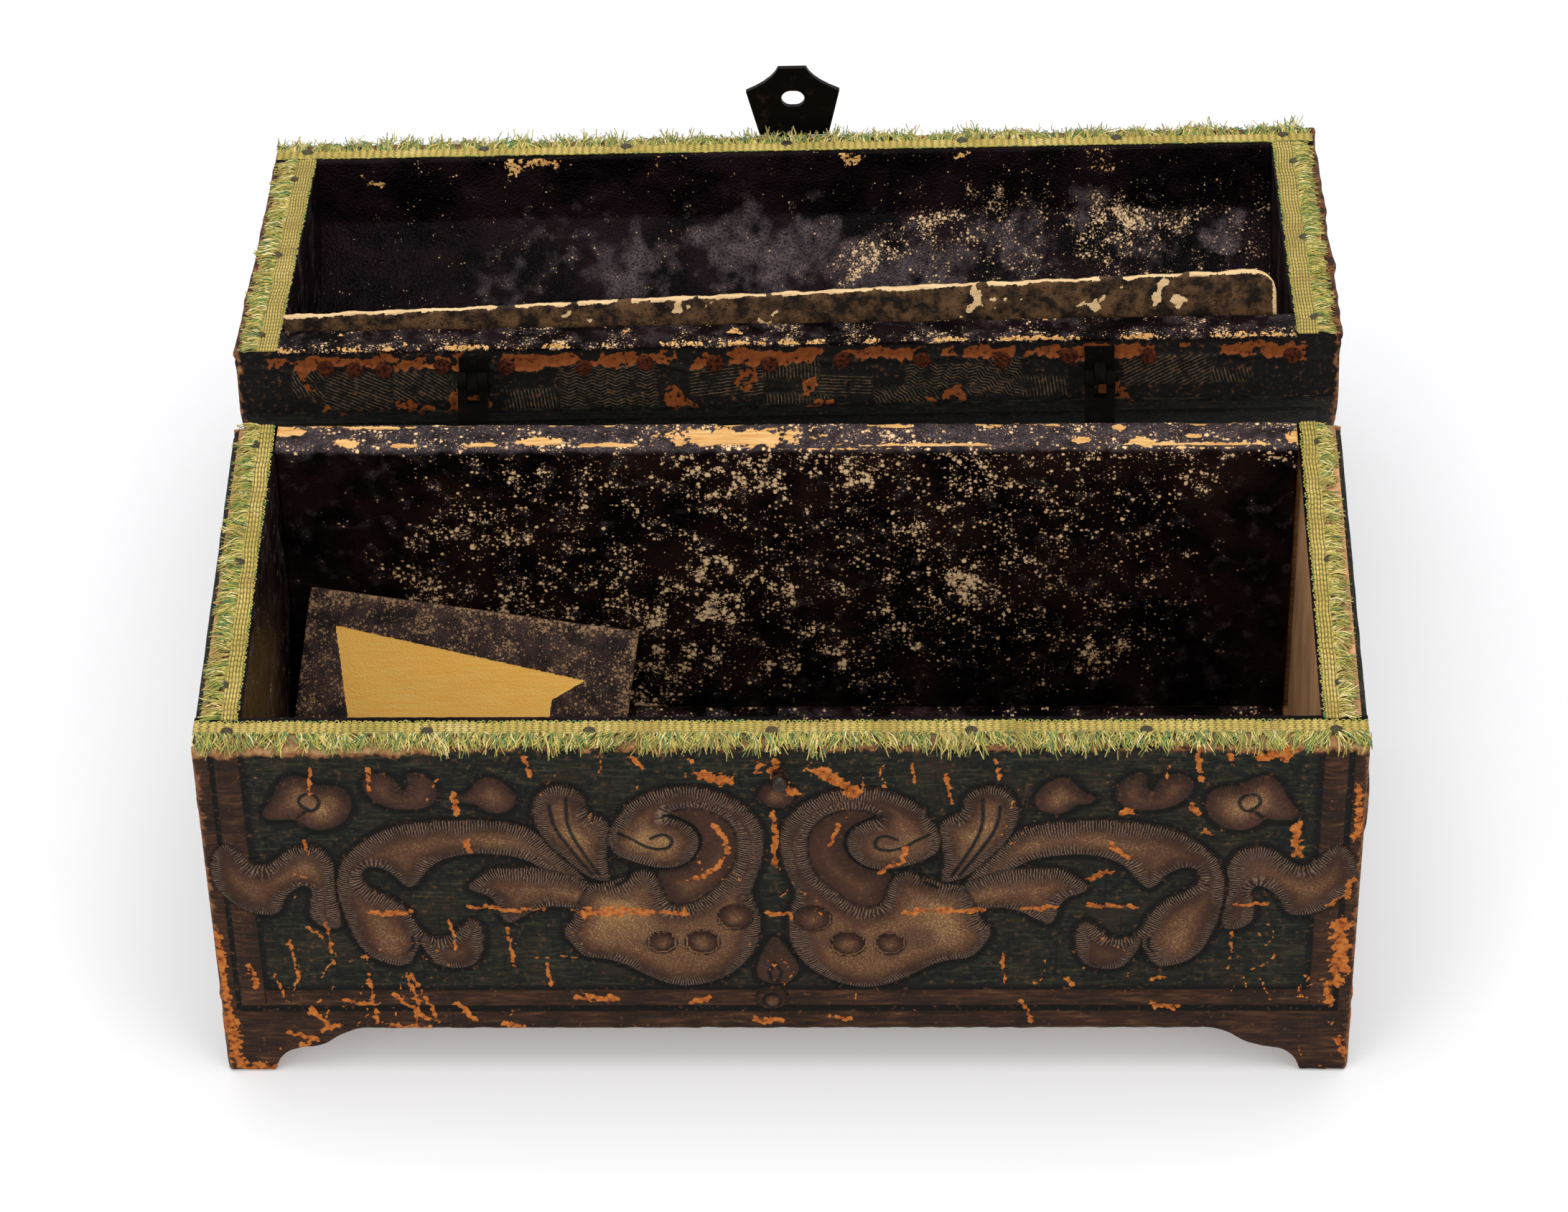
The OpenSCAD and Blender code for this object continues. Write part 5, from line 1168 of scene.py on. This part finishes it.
def makeTape(name, strip, seed):  # tape, lining turned over the rim, and fringe of one rim
    start, end, out, level, up, body, place, inner, wide, short, long, node = strip
    along = np.array(end, float) - start
    length = float(np.hypot(*along))
    along /= length
    outwards = (along[0] * out[1] - along[1] * out[0]) * up > 0

    def point(s, w, h):
        p = np.array(start) + s[:, None] * along + w[:, None] * np.array(out)
        return np.column_stack([p, level + up * h])

    def straight(s):
        return np.tile([0.0, 0.0, float(up)], (len(s), 1))
    ends = round(wide / tape["end"])
    bm = bmesh.new()
    bmesh.ops.create_grid(bm, x_segments=round(length / 0.32), y_segments=ends * 4, size=1.0)
    bmesh.ops.translate(bm, verts=bm.verts, vec=(0, 1, 0))
    bmesh.ops.scale(bm, verts=bm.verts, vec=(length / 2, wide / 2, 1))

    def layTape(u, v):
        s = u + length / 2
        w = v if outwards else wide - v
        place = w / wide * ends
        column = np.clip(np.floor(place), 0, ends - 1)
        phase = s / tape["stitch"] + 0.16 * (column % 2) + 0.05 * softNoise(s, w, 6, seed)
        bead = np.abs(np.sin(math.pi * phase)) ** 0.45 * np.abs(np.sin(math.pi * place)) ** 0.5
        sway = 0.22 * lineNoise(s, 16, seed + 1) * smooth(np.minimum(s, length - s), 0, 6)
        draw = np.random.default_rng(seed).uniform(0, 1, (4000, 12))
        tint = draw[np.clip(np.floor(phase).astype(int), 0, 3999), column.astype(int)]
        tint = np.clip(0.6 + 0.3 * (tint - 0.5) + 0.28 * softNoise(s, w, 26, seed + 2)
                       - 0.3 * smooth(0.6 - w, 0, 0.6), 0, 1)
        edge = smooth(np.minimum(w, wide - w), 0, 0.25)
        height = tape["base"] * edge + tape["bump"] * bead * edge + 0.07 * softNoise(s, w, 8, seed + 3)
        return (point(s, w + inner + sway, 0.02 + 0 * s), straight(s), height,
                # bead is also the thread material's depth: painted shade in the hollows between stitches
                {"thread": (tint, bead, 0 * s)})
    addSheet(name + "Tape", bm, layTape, 0.0, place, body, "braid", node)

    def layTurned(u, v):
        w = v if outwards else inner + 0.3 - v
        height = 0.2 + 0.06 * softNoise(u, v, 5, seed + 7)
        flaked = 0.1 + 0.15 * softNoise(u, v, 8, seed + 8)
        return (point(u + length / 2, w + 0.04, 0.0 * u), straight(u), height,
                {"lost": (flaked, 0.1 + 0 * u, 0 * u)})
    addSheet(name + "Turned", layGrid(length / 2, inner + 0.3, 0.4), layTurned, 0.0, place, body,
             "lining", node)

    # cut threads in tufts, and the small loops along the tape's inner edge
    draw = np.random.default_rng(seed + 50)
    count, n = int(length * fringe["perMm"]), fringe["points"]
    tufts = int(length / fringe["tuft"])
    tuft = draw.integers(0, tufts, count)
    middle = (np.arange(tufts) + 0.5) * length / tufts + draw.normal(0, 0.2, tufts)
    s0 = np.clip(middle[tuft] + draw.normal(0, 0.36, count), 0.2, length - 0.2)
    t = np.linspace(0, 1, n)[None, :]
    lean = 0.42 * lineNoise(middle, 15, seed + 4) + draw.normal(0, 0.22, tufts)
    drift = (lean[tuft] + draw.normal(0, 0.17, count))[:, None]
    reach = draw.uniform(short, long, tufts)[tuft] * draw.uniform(0.72, 1.12, count)
    wave, turn = draw.uniform(0.15, 0.75, count)[:, None], draw.uniform(0, 2 * math.pi, count)[:, None]
    layer = draw.uniform(0.08, 0.6, count)
    w = inner + wide - 0.35 + np.cos(drift) * reach[:, None] * t
    s = s0[:, None] + (np.sin(drift) * reach[:, None] + draw.normal(0, 0.9, count)[:, None] * t) * t
    s = s + wave * (np.sin(5.4 * t + turn) - np.sin(turn)) * t
    s = np.clip(s, -0.3, length + 0.3)
    h = layer[:, None] + draw.uniform(0.1, 0.6, count)[:, None] * np.sin(math.pi * t ** 0.8)
    # tips past the rim's edge bend down on the base, and stand up on the lid that lies open
    flare = (draw.uniform(-1.6, 0.3, count) if up > 0 else draw.uniform(-0.2, 1.5, count))[:, None]
    h = h + flare * np.clip((w - 9.0) / 1.5, 0, 1.5)
    tint = (0.43 + 0.3 * lineNoise(middle, 22, seed + 6) + draw.normal(0, 0.1, tufts))[tuft]
    # painted light and shade: threads that lie higher in the pile get a paler tint, lower ones a darker one
    tint = (tint + draw.normal(0, 0.23, count) + 0.4 * (layer - 0.36))[:, None]
    tint = np.clip(tint + 0.34 * (t - 0.35), 0, 1)
    # the fifth value is the depth: lowest at a thread's root, where it is darkened as painted shade
    runs = [(s, w, h, tint, 0.45 + 0.55 * t ** 0.7 + 0 * s, fringe["radius"])]
    loops = int(length / 1.15)
    sl = (np.arange(loops) + 0.5) * length / loops + draw.normal(0, 0.12, loops)
    a = np.linspace(0, math.pi, n)[None, :]
    runs.append((sl[:, None] + 0.42 * np.cos(a),
                 inner + 0.2 - (0.45 + draw.normal(0, 0.1, loops)[:, None]) * np.sin(a),
                 0.34 + 0.12 * np.sin(a) + draw.normal(0, 0.05, loops)[:, None],
                 np.repeat(np.clip(0.35 + draw.normal(0, 0.15, loops), 0, 1)[:, None], n, 1),
                 0.8 + 0 * a + 0 * sl[:, None], 0.16))
    data = bpy.data.curves.new(name + "Threads", "CURVE")
    data.dimensions = "3D"
    data.bevel_depth = 1.0
    data.bevel_resolution = 0
    data.use_fill_caps = True
    tints, depths = [], []
    for s, w, h, tint, depth, radius in runs:
        flat = point(s.ravel(), w.ravel(), h.ravel()).reshape(*s.shape, 3)
        for row in range(len(s)):
            spline = data.splines.new("POLY")
            spline.points.add(n - 1)
            spline.points.foreach_set("co", np.column_stack([flat[row], np.ones(n)]).ravel())
            spline.points.foreach_set("radius", radius * np.linspace(1.15, 0.7, n))
        tints.append(tint.reshape(-1, n))
        depths.append(depth.reshape(-1, n))
    tints, depths = np.vstack(tints), np.vstack(depths)
    holder = bpy.data.objects.new(name + "Threads", data)
    bpy.context.scene.collection.objects.link(holder)
    bpy.context.view_layer.update()
    mesh = bpy.data.meshes.new_from_object(holder.evaluated_get(bpy.context.evaluated_depsgraph_get()))
    bpy.data.objects.remove(holder)
    mesh.name = name + "Threads"
    co = np.empty(len(mesh.vertices) * 3, np.float32)
    mesh.vertices.foreach_get("co", co)
    each = len(mesh.vertices) // len(tints)
    ring = (each - 8) // n                        # the caps' corners come after each thread's rings
    order = np.concatenate([np.repeat(np.arange(n), ring), np.zeros(each - ring * n, int)])
    ends = co.reshape(len(tints), each, 3)
    last = np.linalg.norm(ends[:, ring * n:] - ends[:, ring * (n - 1)][:, None], axis=2) < 0.5
    nearest = np.tile(order, (len(tints), 1))
    nearest[:, ring * n:] = np.where(last, n - 1, 0)
    rows = np.arange(len(tints))[:, None]
    setVectors(mesh, "thread", [tints[rows, nearest].ravel(), depths[rows, nearest].ravel(),
                                np.zeros(len(mesh.vertices))])
    bm = bmesh.new()
    bm.from_mesh(mesh)
    bmesh.ops.remove_doubles(bm, verts=bm.verts, dist=0.0005)
    bm.to_mesh(mesh)
    bm.free()
    finishPiece(name + "Fringe", mesh, place, body, "fringe", node)


inEdge, seed = casket["wall"], 200
runs = [("Front", (-halfWidth, inEdge - halfDepth), (halfWidth, inEdge - halfDepth), (0, -1)),
        ("Left", (inEdge - halfWidth, inEdge - halfDepth - 1), (inEdge - halfWidth, 50.8), (-1, 0)),
        ("Right", (halfWidth - inEdge, inEdge - halfDepth - 1), (halfWidth - inEdge, 50.8), (1, 0))]
for word, level, up, place, widths in (           # from the inner edge: lining, tape, shortest and
        ("base", baseTop, 1, basePlace,           # longest thread, on the front, left and right rims
         ((1.7, 3.5, 3.9, 6.0), (0.8, 3.4, 3.6, 5.2), (0.8, 3.4, 3.2, 4.6))),
        ("lid", rim, -1, lidPlace,
         ((1.5, 3.6, 4.2, 6.2), (0.4, 4.3, 3.6, 5.2), (0.4, 4.5, 3.2, 4.6)))):
    for (side, start, end, out), width in zip(runs, widths):
        node = word + "_" + side.lower() + "_trim"
        makeTape(word + side, (start, end, out, level, up, word, place, *width, node), seed)
        seed += 20
print("braid and fringe")
